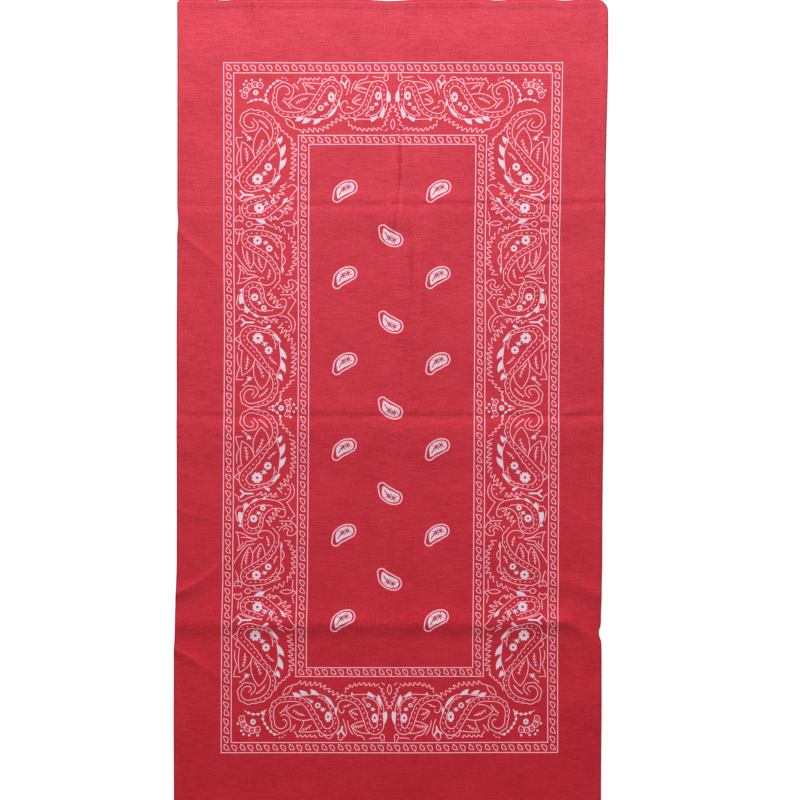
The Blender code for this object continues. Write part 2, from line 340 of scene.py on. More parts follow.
def fold_height(fold, x, y):
    """Height of one fold at the points, found on the nearest stretch of its line."""
    nearest = np.full(x.shape, np.inf)
    height = np.zeros(x.shape)
    stretches = list(zip(fold.line, fold.line[1:]))
    for number, (start, end) in enumerate(stretches):
        ax, ay, bx, by = (value * MM for value in (*start[:2], *end[:2]))
        length = np.hypot(bx - ax, by - ay)
        ux, uy = (bx - ax) / length, (by - ay) / length
        reach = (x - ax) * ux + (y - ay) * uy
        side = (y - ay) * ux - (x - ax) * uy
        inside = np.clip(reach, 0, length)
        past = np.abs(reach - inside)
        away = np.hypot(past, side)
        at_end = ((number == 0) & (reach < 0)) | ((number == len(stretches) - 1) & (reach > length))
        fade = np.where(at_end, smooth(1 - past / (FOLD_END_FADE * MM)), 1.0)
        off_line = np.where(at_end, np.abs(side), away)
        line_height = (start[2] + (end[2] - start[2]) * inside / length) * MM
        left = fold.left_share * side_profile(off_line, fold.left_crest * MM, fold.left_foot * MM)
        right = side_profile(off_line, fold.right_crest * MM, fold.right_foot * MM)
        here = line_height * fade * np.where(side > 0, left, right)
        height = np.where(away < nearest, here, height)
        nearest = np.minimum(nearest, away)
    return height


def swell_height(swell, x, y):
    off = np.hypot(
        (x - swell.across * MM) / (swell.half_width * MM),
        (y - swell.along * MM) / (swell.half_length * MM),
    )
    return swell.height * MM * np.clip(1 - off**2, 0, 1) ** 2


def ripple_height(ripple, x, y):
    """A soft wave that comes and goes over the cloth."""
    turn = 2 * pi * (x / ripple.wave_across + y / ripple.wave_along) / MM + ripple.drift
    swing = 0.5 + 0.5 * np.sin(turn + 1.3 * np.sin(turn * 0.37 + ripple.drift))
    return ripple.height * MM * swing


def relief(across, along):
    """Height of all folds, swells and ripples together."""
    height = sum(fold_height(fold, across, along) for fold in FOLDS + FINE_FOLDS)
    height = height + sum(swell_height(swell, across, along) for swell in SWELLS)
    return height + sum(ripple_height(ripple, across, along) for ripple in RIPPLES)


# ------------------------------------------------------------------------- lines of the print, in mm
# From one point of a drawn line to the next
STEP = 1.5


def turned(angle):
    return exp(1j * angle)


def lengths(points):
    """How far along the line each of its points is."""
    places = [0.0]
    for a, b in zip(points, points[1:]):
        places.append(places[-1] + abs(b - a))
    return places


def at(points, place):
    """The point at a place along the line."""
    last = len(points) - 2
    for i, (a, b) in enumerate(zip(points, points[1:])):
        length = abs(b - a)
        if place <= length or i == last:
            return a + (b - a) * place / length
        place -= length


def even(points, step=STEP):
    """The line again, with points a step apart."""
    total = lengths(points)[-1]
    count = max(1, ceil(total / step))
    return [at(points, total * i / count) for i in range(count + 1)]


def rectangle(half_across, half_along, step):
    """Points a step apart round a rectangle, from its lower left corner."""
    corner = complex(half_across, half_along)
    corners = [-corner, corner.conjugate(), corner, -corner.conjugate()]
    sides = [even([a, b], step)[:-1] for a, b in zip(corners, corners[1:] + corners[:1])]
    return sum(sides, [])


def curve(points, step=STEP):
    """A smooth line through the points."""
    ends = (2 * points[0] - points[1], 2 * points[-1] - points[-2])
    p = [ends[0], *points, ends[1]]
    line = []
    for a, b, c, d in zip(p, p[1:], p[2:], p[3:]):
        for t in (i / 8 for i in range(8)):
            bend = (a - 2.5 * b + 2 * c - d / 2) * t**2 + (1.5 * (b - c) + (d - a) / 2) * t**3
            line.append(b + (c - a) / 2 * t + bend)
    return even([*line, points[-1]], step)


def arc(start, end, bulge, count=6):
    """Points from start to end on a bow that bulges to the left by a share of its length."""
    middle = (start + end) / 2 + 1j * (end - start) * bulge * 2
    shares = [i / count for i in range(count + 1)]
    return [start * (1 - t) ** 2 + 2 * middle * t * (1 - t) + end * t**2 for t in shares]


def belt(circles, step=STEP):
    """A line that runs round circles (across, along, radius) like a belt round pulleys,
    anticlockwise where the radius is positive. A radius of 0 is an end of the line."""
    ways = []
    for (x1, y1, r1), (x2, y2, r2) in zip(circles, circles[1:]):
        gap = complex(x2 - x1, y2 - y1)
        share = max(-1.0, min(1.0, (r1 - r2) / abs(gap)))
        ways.append(phase(gap) + phase(complex((1 - share**2) ** 0.5, share)))
    points = []
    for i, (x, y, r) in enumerate(circles):
        if r == 0:
            points.append(complex(x, y))
            continue
        turn = (ways[i] - ways[i - 1]) % (2 * pi) - (2 * pi if r < 0 else 0)
        count = max(2, ceil(abs(turn * r) / step))
        for k in range(count + 1):
            points.append(complex(x, y) + r * turned(ways[i - 1] + turn * k / count - pi / 2))
    points = even(points, step / 2)
    for _ in range(3):
        inner = [(a + 2 * b + c) / 4 for a, b, c in zip(points, points[1:], points[2:])]
        points = [points[0], *inner, points[-1]]
    return even(points, step)


def normals(points):
    """Unit vectors to the left of the line at its points."""
    result = []
    for i in range(len(points)):
        a, b = points[max(i - 1, 0)], points[min(i + 1, len(points) - 1)]
        result.append(1j * (b - a) / abs(b - a))
    return result


def drop(circles, count):
    """The closed outline, in count points, of a bent drop through circles (middle, radius)."""
    spine = curve([middle for middle, _ in circles], 1.2)
    shares = np.linspace(0, 1, len(spine))
    radii = np.interp(shares, np.linspace(0, 1, len(circles)), [radius for _, radius in circles])
    outline = []
    for points, reach in ((spine, radii), (spine[::-1], radii[::-1])):
        sides = normals(points)
        outline += [p - n * r for p, n, r in zip(points, sides, reach)]
        outline += [points[-1] - sides[-1] * turned(pi * i / 6) * reach[-1] for i in range(1, 6)]
    outline.append(outline[0])
    return even(outline, lengths(outline)[-1] / count)[:-1]


# ------------------------------------------------------------------------ inked shapes of the print
# Width of the print's lines
LINE = 0.64
# Narrower lines, and dots of a smaller radius, are thin: they take less pigment
THIN_LINE = 1.2
THIN_DOT = 1.0


class ThinPiece(list):
    """The outline of a bit of a thin line or of a small dot."""


def stroke(points, width=LINE, closed=False, taper=1.0):
    """Four-sided pieces along a line, mitred at its corners, with blunt rounded ends."""
    count = len(points)
    left, right = [], []
    for i, p in enumerate(points):
        come = p - points[i - 1] if closed or i else points[1] - p
        go = points[(i + 1) % count] - p if closed or i < count - 1 else come
        come, go = come / abs(come), go / abs(go)
        mean = come + go if abs(come + go) > 0.35 else go + 0.35 * come
        mean /= abs(mean)
        mitre = min(2.0, 1 / max(0.3, (mean * go.conjugate()).real))
        reach = 1j * mean * mitre * width / 2 * (1 + (taper - 1) * i / (count - 1))
        left.append(p + reach)
        right.append(p - reach)
    pieces = []
    for i in range(count if closed else count - 1):
        j = (i + 1) % count
        pieces.append([right[i], right[j], left[j], left[i]])
    if not closed:
        for i, j in ((0, 1), (-1, -2)):
            out = (points[i] - points[j]) / abs(points[i] - points[j]) * width * 0.4
            a, b = right[i], left[i]
            pieces.append([a, b, b + out + (a - b) * 0.22, a + out + (b - a) * 0.22])
    return [ThinPiece(piece) if width < THIN_LINE else piece for piece in pieces]


def bows(*chain):
    """A chain of bows: a point, then a bulge to the left and the next point, in turn."""
    pieces = []
    for start, bulge, end in zip(chain[::2], chain[1::2], chain[2::2]):
        pieces += stroke(arc(start, end, bulge))
    return pieces


def disc(middle, radius, sides=8):
    outline = [middle + radius * turned(2 * pi * i / sides) for i in range(sides)]
    return [ThinPiece(outline) if radius < THIN_DOT else outline]


def blossom(middle, radius, hole, stretch=1.0, petals=8):
    """A filled flower with a scalloped rim round a bare middle."""
    rim, eye = [], []
    for a in (2 * pi * i / (petals * 4) for i in range(petals * 4)):
        out = radius * (1 - 0.2 * (1 - abs(sin(a * petals / 2))))
        rim.append(middle + out * complex(cos(a), stretch * sin(a)))
        eye.append(middle + hole * complex(cos(a), stretch * sin(a)))
    sides = zip(eye, rim, rim[1:] + rim[:1], eye[1:] + eye[:1])
    return [list(side) for side in sides]


def star(middle, radius, rays=6, turn=0.3, thick=0.72):
    """A star of tapering rays, no two alike. Thick is the width of a ray at its root."""
    outline = []
    for i in range(rays):
        way = turned(turn + 2 * pi * i / rays)
        tip = middle + way * radius * (1 + 0.2 * sin(3.7 * i + radius))
        root = middle + way * turned(pi / rays) * 0.7 * thick / sin(pi / rays)
        outline += [tip - 0.4j * thick * way, tip + 0.4j * thick * way, root]
    return [outline]


def barbed_vein(base, tip, pairs, barb, width=0.72):
    """A bent stem with slanted barbs on both sides."""
    axis = tip - base
    ahead = axis / abs(axis)
    stem = [base, (base + tip) / 2 + 0.06j * axis, tip]
    pieces = stroke(stem, width, taper=0.6)
    for i in range(pairs):
        share = (i + 0.8) / (pairs + 0.4)
        root = at(stem, share * abs(axis))
        for side in (1, -1):
            out = ahead * turned(side * 0.95) * barb * (1 - 0.4 * abs(share - 0.45))
            end = root + out * (1 + 0.15 * sin(5 * i + side))
            pieces += stroke([root, end], width * 0.85, taper=0.5)
    return pieces


def leaf(base, tip, other_base, first_belly, second_belly):
    """The outline of a leaf that grows to its tip from between two bases.
    Its bellies are how far its two edges swell out, as shares of their length."""
    side = 1 if ((tip - base).conjugate() * (other_base - base)).imag < 0 else -1
    pieces = stroke(even(arc(base, tip, side * first_belly, 12)))
    return pieces + stroke(even(arc(tip, other_base, side * second_belly, 12)))


def dart(toe, heel, tip):
    """A filled leaf on a line from toe to heel. Its back swells from its tip to the heel."""
    side = 1 if ((heel - tip).conjugate() * (toe - tip)).imag < 0 else -1
    return [arc(toe, tip, -0.06 * side, 3)[:-1] + arc(tip, heel, 0.15 * side, 6)]


def comma(thin_end, thick_end, radius):
    return [drop(((thin_end, 0.4), (thick_end, radius)), 14)]


def bone(start, end, width=1.6):
    """A thick stem whose far end forks in two."""
    ahead = (end - start) / abs(end - start)
    pieces = stroke([start, end], width)
    for side in (1, -1):
        pieces += stroke([end, end + ahead * turned(side * 0.75) * 3 * width], width)
    return pieces


def oval(start, end, width):
    """A pointed oval, its width a share of its length."""
    outline = arc(start, end, width / 2, 8)[:-1] + arc(end, start, width / 2, 8)[:-1]
    return stroke(outline, closed=True)


def heart(tip, way):
    """Two lobes that stand on a rope, open towards it."""
    lobe = ((0, 0), (-1.5, 3.6), (-4.6, 4.6), (-7.6, 2.2), (-6.8, -1.4))
    dip = ((-6.8, -1.4), (-4.4, 0.5), (-2.2, -0.4), (0, 0))
    pieces = []
    for line in (lobe, dip):
        pieces += stroke(curve([tip + complex(x, y * way) for x, y in line]))
    return pieces


def flame(path, pitch, reach):
    """Hand-drawn tongues along a path: sharp on one side, blunt on the other, no two alike."""
    line = even(curve(path, 3.0), pitch / 2)
    points = []
    for i, (p, n) in enumerate(zip(line, normals(line))):
        size = reach * (1 + 0.18 * sin(2.1 * i) + 0.1 * sin(5.3 * i))
        if i % 2:
            points.append(p + n * size - 0.25j * n * pitch)
        else:
            points.append(p - n * size + 0.13j * n * pitch)
            points.append(p - n * size - 0.13j * n * pitch)
    return stroke(curve(points, 1.2))


def vine(path, spacing):
    """A line with beads on it."""
    line = curve(path)
    pieces = stroke(line)
    for bead in even(line, spacing)[1:-1]:
        pieces += disc(bead, 1.3, 7)
    return pieces


def petal_fan(row):
    """A bow with a row of round petals on it, each with a dot."""
    start, end = radians(row.start), radians(row.end)
    count = ceil((end - start) * row.radius / STEP)
    angles = [start + (end - start) * i / count for i in range(count + 1)]
    pieces = stroke([row.middle + row.radius * turned(angle) for angle in angles])
    half = (end - start) / row.petals / 2
    for i in range(row.petals):
        way = turned(start + half * (2 * i + 1))
        root, tip = row.middle + row.radius * way, row.middle + row.reach * way
        side = 1j * way * half * row.reach * 0.84
        shoulder = (root + 2 * tip) / 3
        outline = [root + side, shoulder + side * 1.05, tip, shoulder - side * 1.05, root - side]
        pieces += stroke(curve(outline))
        pieces += disc((root + tip) / 2, 0.55, 6)
    return pieces


# --------------------------------------------------------------------- layout of the print, in mm
# The border is drawn in one quarter, across and along from the print's middle, and mirrored.
# A paisley's body is a belt round circles (across, along, radius), an end where the radius is 0.
# Its rim runs beside the body from start to end, as shares of it, at the gaps in turn, and
# has no beads for the plain share of it. Mirror is how far along its mirror line lies, if it has one.
Paisley = namedtuple(
    "Paisley", "name body start end gaps plain darts leaves blossoms stars veins bows mirror",
    defaults=[None],
)
Petals = namedtuple("Petals", "middle radius reach start end petals")

# A paisley's rim: how far its waves swing, how long they are, where the beads lie as a share of the
# gap, and the way from one bead to the next
RIM_SWING = 0.45
RIM_WAVE = 6.1
BEAD_PLACE = 0.52
BEAD_SPACING = 4.7

PAISLEYS = (
    Paisley(
        name="upright, at the corner",
        body=((131, 267, 0), (130.7, 263.8, 2.4), (131.2, 268.2, 6.8), (126.8, 257.5, 16.1),
              (131, 213, -11), (119.5, 219.5, -14.5), (122, 235, -18.5), (107.5, 250.5, 0)),
        start=0.0,
        end=0.86,
        gaps=(-3.6, -3.3, -4.8, -4.6, -7, -6.5, -3.2, -4),
        plain=0.24,
        # toe, heel, tip
        darts=((107.3 + 250.8j, 104.3 + 246.3j, 102.2 + 253.8j),
               (103.9 + 242.3j, 103.4 + 233.5j, 99.4 + 246.3j),
               (103.4 + 230.8j, 105.3 + 221.8j, 98.2 + 233.6j),
               (106.8 + 216.5j, 112 + 209.3j, 103.3 + 217.8j)),
        # base, tip, other base, bellies
        leaves=((127.5 + 233j, 121.6 + 261.5j, 113.8 + 245.5j, 0.14, 0.13),
                (139.5 + 225.5j, 139.5 + 248.5j, 127.5 + 233j, 0.05, 0.13)),
        # middle, radius, hole
        blossoms=((125 + 213.8j, 5.2, 1.3), (115 + 225j, 3.8, 1.15)),
        # middle, radius
        stars=((118.5 + 219j, 2.6), (132.7 + 251.5j, 2.6)),
        # base, tip, pairs of barbs, length of a barb
        veins=((126 + 237.5j, 119.8 + 250.5j, 4, 2.1), (134.6 + 230.5j, 136.2 + 243j, 4, 2.1),
               (115.3 + 260.8j, 123.8 + 268.8j, 4, 1.4), (107.6 + 238j, 114.6 + 231.3j, 3, 1.6),
               (133.5 + 252.5j, 139.6 + 258.3j, 2, 1.4)),
        # chains of bows: a point, then the bulge to the left and the next point, in turn
        bows=((139 + 252.6j, 0.0, 145 + 252.4j, 0.05, 141.8 + 241j, 0.1, 143.8 + 227.8j),
              (139.5 + 225.6j, 0.4, 141.3 + 218.5j),
              (141.8 + 218.3j, 0.0, 146.5 + 214.6j, 0.0, 141.8 + 211j)),
        mirror=139.6,
    ),
    Paisley(
        name="small, between the upright ones",
        body=((119, 199, 0), (130.5, 186, -9), (122, 190, -13.5), (101, 190.5, 0)),
        start=0.0,
        end=0.97,
        gaps=(-4.3, -5, -4.3, -4.3, -5.5, -7, -5),
        plain=0.0,
        darts=((100.3 + 195.3j, 102.8 + 189.3j, 96.7 + 196.6j),
               (118.8 + 176j, 127 + 176.3j, 116.5 + 172.2j)),
        leaves=(),
        blossoms=((123.5 + 186.8j, 4.8, 1.3), (110.7 + 192.8j, 2.2, 0.8)),
        stars=((116.5 + 191j, 2.9),),
        veins=(),
        bows=((146 + 200.5j, 0.05, 139.5 + 193j, -0.08, 119 + 197.8j),),
    ),
    Paisley(
        name="second, hanging",
        body=((119, 121.3, 0), (121, 119.2, -3), (117, 123.6, -8.8), (138, 116, -31),
              (131, 158, 8.8), (121.3, 146.5, 19.3), (102.3, 131, 0)),
        start=0.13,
        end=0.87,
        gaps=(4, 4.5, 4.8, 5, 6.3, 4, 3.6),
        plain=0.12,
        darts=((103.2 + 131.5j, 101.3 + 131.5j, 102.3 + 125.3j),),
        leaves=((139 + 151j, 131.3 + 130.5j, 129.5 + 145.5j, 0.10, 0.12),
                (128.5 + 136.5j, 121 + 127j, 117 + 138.5j, 0.05, 0.08)),
        blossoms=((125 + 156.5j, 4.3, 1.2), (114 + 149j, 3.2, 1.1)),
        stars=((117.3 + 154.5j, 2.2),),
        veins=((134.8 + 146.5j, 133 + 134.5j, 4, 2.1), (124 + 141.5j, 121.3 + 131j, 4, 1.9),
               (109 + 145.6j, 105.4 + 139j, 2, 1.5), (115.6 + 120.5j, 113.6 + 129.5j, 3, 1.9)),
        bows=((111 + 163j, 0.0, 102.5 + 160j, 0.0, 106 + 157.5j),
              (105 + 155.8j, -0.45, 102.5 + 146.3j),
              (102.5 + 143.5j, -0.3, 102 + 132.8j),
              (128 + 167j, 0.1, 125.5 + 169.7j, 0.0, 119.3 + 169.5j, 0.0, 120 + 167j)),
    ),
    Paisley(
        name="small, below the second",
        body=((104, 101.3, 0), (101.6, 99.4, 3.2), (110, 98, 11.5), (119, 104.8, 19.7),
              (129, 108.3, 9.7), (106.8, 106, -12.2), (100, 95.3, 0)),
        start=0.2,
        end=0.85,
        gaps=(5.5, 5.7, 5, 3),
        plain=0.22,
        darts=((138.6 + 112.2j, 139.8 + 108.5j, 142.3 + 110.8j), (138.3 + 98j, 139.8 + 109j, 142 + 97.3j),
               (132 + 91.3j, 137.3 + 96.5j, 135 + 88.4j), (124.6 + 86.7j, 130.8 + 89.7j, 124.8 + 84.6j),
               (120.5 + 85.8j, 116.8 + 85.8j, 118.3 + 82.5j)),
        leaves=(),
        blossoms=((128 + 103.7j, 3.7, 1.1), (119.5 + 93.7j, 2.7, 0.95)),
        stars=((123.3 + 98.5j, 2.0),),
        veins=(),
        bows=((143 + 106.5j, 0.04, 144.8 + 96.3j),
              (144 + 95.5j, 0.0, 142 + 92.2j, -0.25, 137 + 89.7j),
              (146 + 80.8j, 0.0, 142.6 + 83j, -0.4, 137 + 86.4j, 0.06, 127 + 82.5j),
              (105 + 86.2j, -0.25, 93.5 + 76j, -0.4, 100 + 73.3j),
              (97.3 + 88.5j, -0.25, 92.5 + 70.8j)),
    ),
    Paisley(
        name="lying, at the corner",
        body=((99, 292.8, 0), (98.3, 295, -3), (101, 294.4, -6), (97.5, 286.5, -10.3),
              (90, 291.5, -15.7), (57, 296, 10), (68, 286, 17), (88, 271.8, 0)),
        start=0.0,
        end=0.88,
        gaps=(4, 3, 4.5, 5, 5, 6, 4, 3),
        plain=0.2,
        darts=((88 + 271.8j, 82.3 + 270.4j, 90.5 + 267.8j), (81.8 + 270.2j, 75.3 + 269.2j, 84.2 + 265.6j),
               (72.8 + 269.4j, 65.3 + 270.4j, 73.8 + 264.4j), (59.5 + 273.5j, 51.5 + 282.5j, 60.8 + 270.2j),
               (51 + 283j, 50.3 + 288.5j, 49.4 + 280.8j)),
        leaves=((72 + 292j, 96 + 285j, 83 + 279j, 0.16, 0.14),
                (65.5 + 302j, 84 + 303j, 79.5 + 293.5j, 0.03, -0.05)),
        blossoms=((57 + 290j, 3.2, 1.0, 1.5), (66.7 + 279.7j, 2.8, 1.2)),
        stars=((61.8 + 283.5j, 2.3), (72.5 + 276j, 1.7)),
        veins=((79 + 289j, 89.5 + 284.3j, 4, 2.0), (72.5 + 297.3j, 81 + 301.5j, 3, 1.9),
               (94.5 + 279.3j, 101.8 + 287.2j, 4, 1.4), (77.5 + 272.8j, 73.2 + 275.6j, 1, 1.4),
               (87.3 + 297j, 92.3 + 302.5j, 2, 1.4)),
        bows=((65.5 + 302.5j, -0.45, 60 + 305.8j), (60 + 306j, -0.42, 52.5 + 305.5j),
              (90.5 + 260.5j, 0.0, 86.5 + 259.8j)),
    ),
    Paisley(
        name="small, by the middle of the short side",
        body=((42.3, 283.6, 0), (44.2, 284.6, -2.3), (42.3, 280.5, -5.9), (42.6, 291.3, -16.8),
              (13.7, 296.7, 8.5), (20.5, 284.5, 15.3), (34.5, 269.6, 0)),
        start=0.12,
        end=0.93,
        gaps=(4, 5, 5, 6, 4, 3.3),
        plain=0.0,
        darts=((6.3 + 286.5j, 5.4 + 297j, 2.8 + 284.8j), (12 + 273j, 8.3 + 281.8j, 10.4 + 269.4j),
               (20.8 + 269.9j, 13.8 + 273.2j, 20 + 266.8j), (36.5 + 270.2j, 33.5 + 270j, 35.2 + 267.3j)),
        leaves=((18 + 304j, 36 + 298j, 23.5 + 293.5j, 0.12, 0.06),
                (30.5 + 292.5j, 37.5 + 285.5j, 29.5 + 283j, 0.1, 0.1)),
        blossoms=((13.7 + 291j, 3.0, 1.0, 1.4), (19.5 + 279.5j, 2.1, 0.9)),
        stars=((15.3 + 283.3j, 1.9),),
        veins=((24 + 297.2j, 34 + 298.6j, 4, 1.9), (29.5 + 288.3j, 36.5 + 284.6j, 3, 1.7),
               (36 + 278.5j, 43 + 281j, 2, 1.4), (25.5 + 273.5j, 22 + 277.5j, 2, 1.4)),
        bows=((23 + 310j, -0.2, 29.5 + 306j, 0.1, 34.5 + 299j), (34 + 305j, 0.1, 38.8 + 293.5j),
              (18.5 + 309j, 0.05, 9.5 + 308.3j), (8.7 + 307.5j, 0.5, 4.6 + 306.5j),
              (8.7 + 307.5j, 0.0, 6.5 + 312j), (4.6 + 306.5j, 0.0, 5 + 311j)),
    ),
)

# Chains of bows between the paisleys
BOWS = (
    # down the inner rope
    (97.2 + 206j, -0.35, 88 + 204.5j, 0.05, 95 + 195j),
    (105.3 + 184.5j, -0.45, 103.5 + 178j, -0.35, 108 + 178.5j),
    (89.7 + 183j, 0.0, 91.5 + 176.5j, 0.0, 87.8 + 173j, 0.1, 91.3 + 169.5j, 0.0, 91 + 161j),
    (118 + 172.5j, 0.0, 110.8 + 169j),
    (130 + 171.7j, 0.0, 120.8 + 171.6j),
    # down the outer rope
    (141.8 + 189j, 0.0, 141.3 + 181j),
    (142 + 164.5j, -0.07, 144.5 + 153j),
    (146 + 145.5j, 0.04, 133.5 + 128.5j, 0.0, 127 + 127.3j),
    # a leaf of three lobes beside the second paisley, and two veins in it
    (143 + 134j, -0.1, 134.5 + 125j, -0.08, 124.4 + 122.6j, 0.1, 136 + 118.6j, -0.05,
     144.3 + 116.3j, 0.12, 142 + 123.8j, 0.14, 143 + 134j),
    (140 + 129.7j, -0.1, 137.7 + 125.5j),
    (139.5 + 121.3j, 0.05, 128.5 + 122.8j),
    # hooks and a forked line on the inner rope
    (104.5 + 115.5j, 0.3, 92 + 112.5j, 0.15, 93 + 116.3j),
    (88 + 116j, 0.2, 96 + 119.5j, 0.2, 95.2 + 114.5j, -0.4, 100.3 + 114.5j),
    (103.8 + 105.8j, 0.0, 93.5 + 106j, 0.1, 89.5 + 100.8j, 0.0, 97 + 88.5j),
    (93.5 + 106j, 0.1, 88 + 112.5j),
    # a heart between the paisleys of the short side, and a small stroke by its middle
    (47.5 + 308.5j, 0.1, 45.3 + 301.2j),
    (47.5 + 308.5j, -0.5, 43.5 + 308j, -0.1, 39.8 + 304j, -0.03, 43 + 292j),
    (7 + 258.5j, 0.0, 4.5 + 260.5j),
)
# Tongues: the path, the way from one to the next, the reach to each side
FLAMES = (
    ((106 + 265j, 103 + 259j, 98 + 255j, 94 + 251j), 4.4, 0.7),
    ((94.5 + 249.5j, 91.8 + 246j, 92 + 228j, 93.5 + 213j), 5.0, 2.1),
    ((101 + 210j, 102 + 204j, 105.5 + 198j, 113 + 197j), 5.0, 2.2),
    ((94.5 + 196j, 95 + 190j, 97.5 + 185.5j, 101 + 183j), 4.6, 2.8),
    ((106.5 + 177.5j, 110 + 177.5j, 114.5 + 176.5j), 3.8, 1.7),
    ((110.5 + 170j, 106 + 168j, 99.5 + 164.5j), 5.0, 1.7),
    ((97.5 + 161.5j, 93 + 157j, 91 + 150j, 91 + 136j, 93.5 + 129j, 97 + 124.5j), 4.9, 1.8),
    ((115 + 109.5j, 112 + 103j, 108.5 + 99j, 105.5 + 95.5j), 4.3, 2.5),
    ((125 + 79.8j, 117 + 81j, 106.5 + 81.5j), 5.2, 1.6),
    ((104.5 + 79j, 103.5 + 74j, 99 + 68.5j, 93 + 62j), 4.8, 2.3),
    ((92.5 + 60j, 91.5 + 45j, 92.5 + 30j), 5.0, 2.0),
    ((92 + 27j, 97 + 21.5j, 103 + 15.5j, 103.5 + 11j), 4.6, 1.2),
    ((87 + 303j, 86.5 + 307j, 82 + 306.3j, 68 + 306.8j), 4.6, 0.9),
    ((86.5 + 258j, 74 + 259j, 62 + 260.5j, 55.5 + 266j, 45 + 270.5j), 4.7, 1.7),
    ((42 + 266.5j, 36 + 261j, 24 + 259.3j, 11 + 260.5j), 4.6, 1.3),
    ((8.5 + 262j, 6.5 + 267j, 4.5 + 272j, 2.5 + 278j, 0.5 + 282j), 4.6, 1.1),
)
# Bones: from where, to the fork
BONES = ((129 + 198.8j, 137.5 + 199.2j), (129 + 80.2j, 137 + 80.3j), (43.8 + 298.5j, 44.4 + 301.6j))
# Pointed ovals: one tip, the other tip, width as a share of the length
OVALS = (
    (102.8 + 172.5j, 90.8 + 172.3j, 0.34), (0 + 269.5j, 0 + 260j, 0.4),
    (129.6 + 171.8j, 136 + 171.9j, 0.75), (99.2 + 270j, 90.7 + 261j, 0.38),
)
# Hearts on the outer rope: tip, and which way along they open
HEARTS = ((146 + 175j, 1), (146 + 166.8j, -1))
# Commas under the upright paisleys: thin end, thick end, radius
COMMAS = ((118.6 + 204.9j, 114.3 + 202.7j, 1.5), (118.6 + 74.3j, 114.3 + 76.5j, 1.5))
# Dots: middle, radius
DOTS = (
    (135.5 + 305j, 1.1), (130.3 + 305.8j, 1.1), (122.4 + 306j, 1.1), (137.6 + 302j, 1.1),
    (140.8 + 295.8j, 1.1), (102 + 308j, 0.7), (99.2 + 307.5j, 0.6), (97.3 + 305.8j, 0.6),
    (105.5 + 111.5j, 0.8), (101.3 + 108.4j, 0.8), (97.7 + 108.5j, 0.8), (93.2 + 108.6j, 0.8),
    (95.5 + 103j, 0.8), (98.5 + 80.7j, 0.7), (96 + 76.2j, 0.7), (109 + 83.5j, 0.7),
    (94.3 + 8.3j, 1.1), (91.2 + 3.4j, 1.1), (88.8 + 0j, 1.0),
)
# Beaded vines: the path, how far apart the beads are
VINES = (
    ((134.7 + 284.5j, 131 + 286.5j, 126 + 287.7j, 121 + 287.5j, 117.5 + 285.8j, 114.8 + 283.6j), 5.2),
    ((115 + 283.8j, 117.8 + 291j, 113.3 + 299.5j, 106.5 + 305.2j, 102.5 + 304.7j), 4.9),
    ((104 + 12j, 103.6 + 8j, 106 + 5j, 109 + 2.2j, 115 + 0.7j), 4.6),
)
# Rosettes at the corner and in the middle of the long side: a flower under a fan of petals
ROSETTES = (
    (126.8 + 294.3j, Petals(126.3 + 290.7j, radius=8.6, reach=13.7, start=-6, end=121, petals=5)),
    (103 + 0j, Petals(106 + 0j, radius=8.5, reach=12.4, start=135, end=225, petals=3)),
)

# The rope frames: where their outer and inner lines run, the way from one link to the next, and
# how far along their middle is
Rope = namedtuple("Rope", "outer_across outer_along inner_across inner_along pitch middle")
ROPES = (
    Rope(outer_across=156.3, outer_along=321.8, inner_across=147.1, inner_along=312.4,
         pitch=7.62, middle=0.0),
    Rope(outer_across=87.2, outer_along=253.4, inner_across=77.4, inner_along=245.1,
         pitch=7.62, middle=1.0),
)
# Width of the ropes' two lines, and of the line round a small paisley
ROPE_LINE = 0.75
FIELD_LINE = 1.1
# The 17 small paisleys of the middle field: rows on the two sides and between them, and how far
# both kinds of rows are moved
FIELD_SIDE_ACROSS = 43.5
FIELD_ROW_STEP = 40.2
FIELD_SIDE_MOVE = -0.2 + 1.35j
FIELD_MIDDLE_MOVE = -0.8 + 0j


def draw_paisley(row):
    """The body line, the wavy rim beside it with dots and dashes in the gap, and its ornaments."""
    body = belt(row.body)
    pieces = stroke(body)
    line = even(body, 0.75)
    places = lengths(line)
    rim, beads = [], []
    for p, n, place in zip(line, normals(line), places):
        share = (place / places[-1] - row.start) / (row.end - row.start)
        if 0 <= share <= 1:
            gap = float(between(share, np.linspace(0, 1, len(row.gaps)), row.gaps))
            rim.append(p + n * (gap + RIM_SWING * sin(2 * pi * place / RIM_WAVE)))
            beads.append(p + n * gap * BEAD_PLACE)
    pieces += stroke(even(rim, 1.3))
    middles = even(beads, BEAD_SPACING)
    for i, (p, n) in enumerate(zip(middles, normals(middles))):
        if row.plain * len(middles) < i < len(middles) - 1:
            pieces += disc(p, 0.6, 6) if i % 3 == 2 else stroke([p - 0.55j * n, p + 0.55j * n], 0.7)
    return pieces + drawn_tables(
        (dart, row.darts),
        (leaf, row.leaves),
        (blossom, row.blossoms),
        (star, row.stars),
        (barbed_vein, row.veins),
        (bows, row.bows),
    )


def drawn_tables(*tables):
    """The pieces of tables of ornaments, each of its own kind."""
    pieces = []
    for kind, table in tables:
        for entry in table:
            pieces += kind(*entry)
    return pieces


def mapped(pieces, change):
    return [type(piece)(change(p) for p in piece) for piece in pieces]


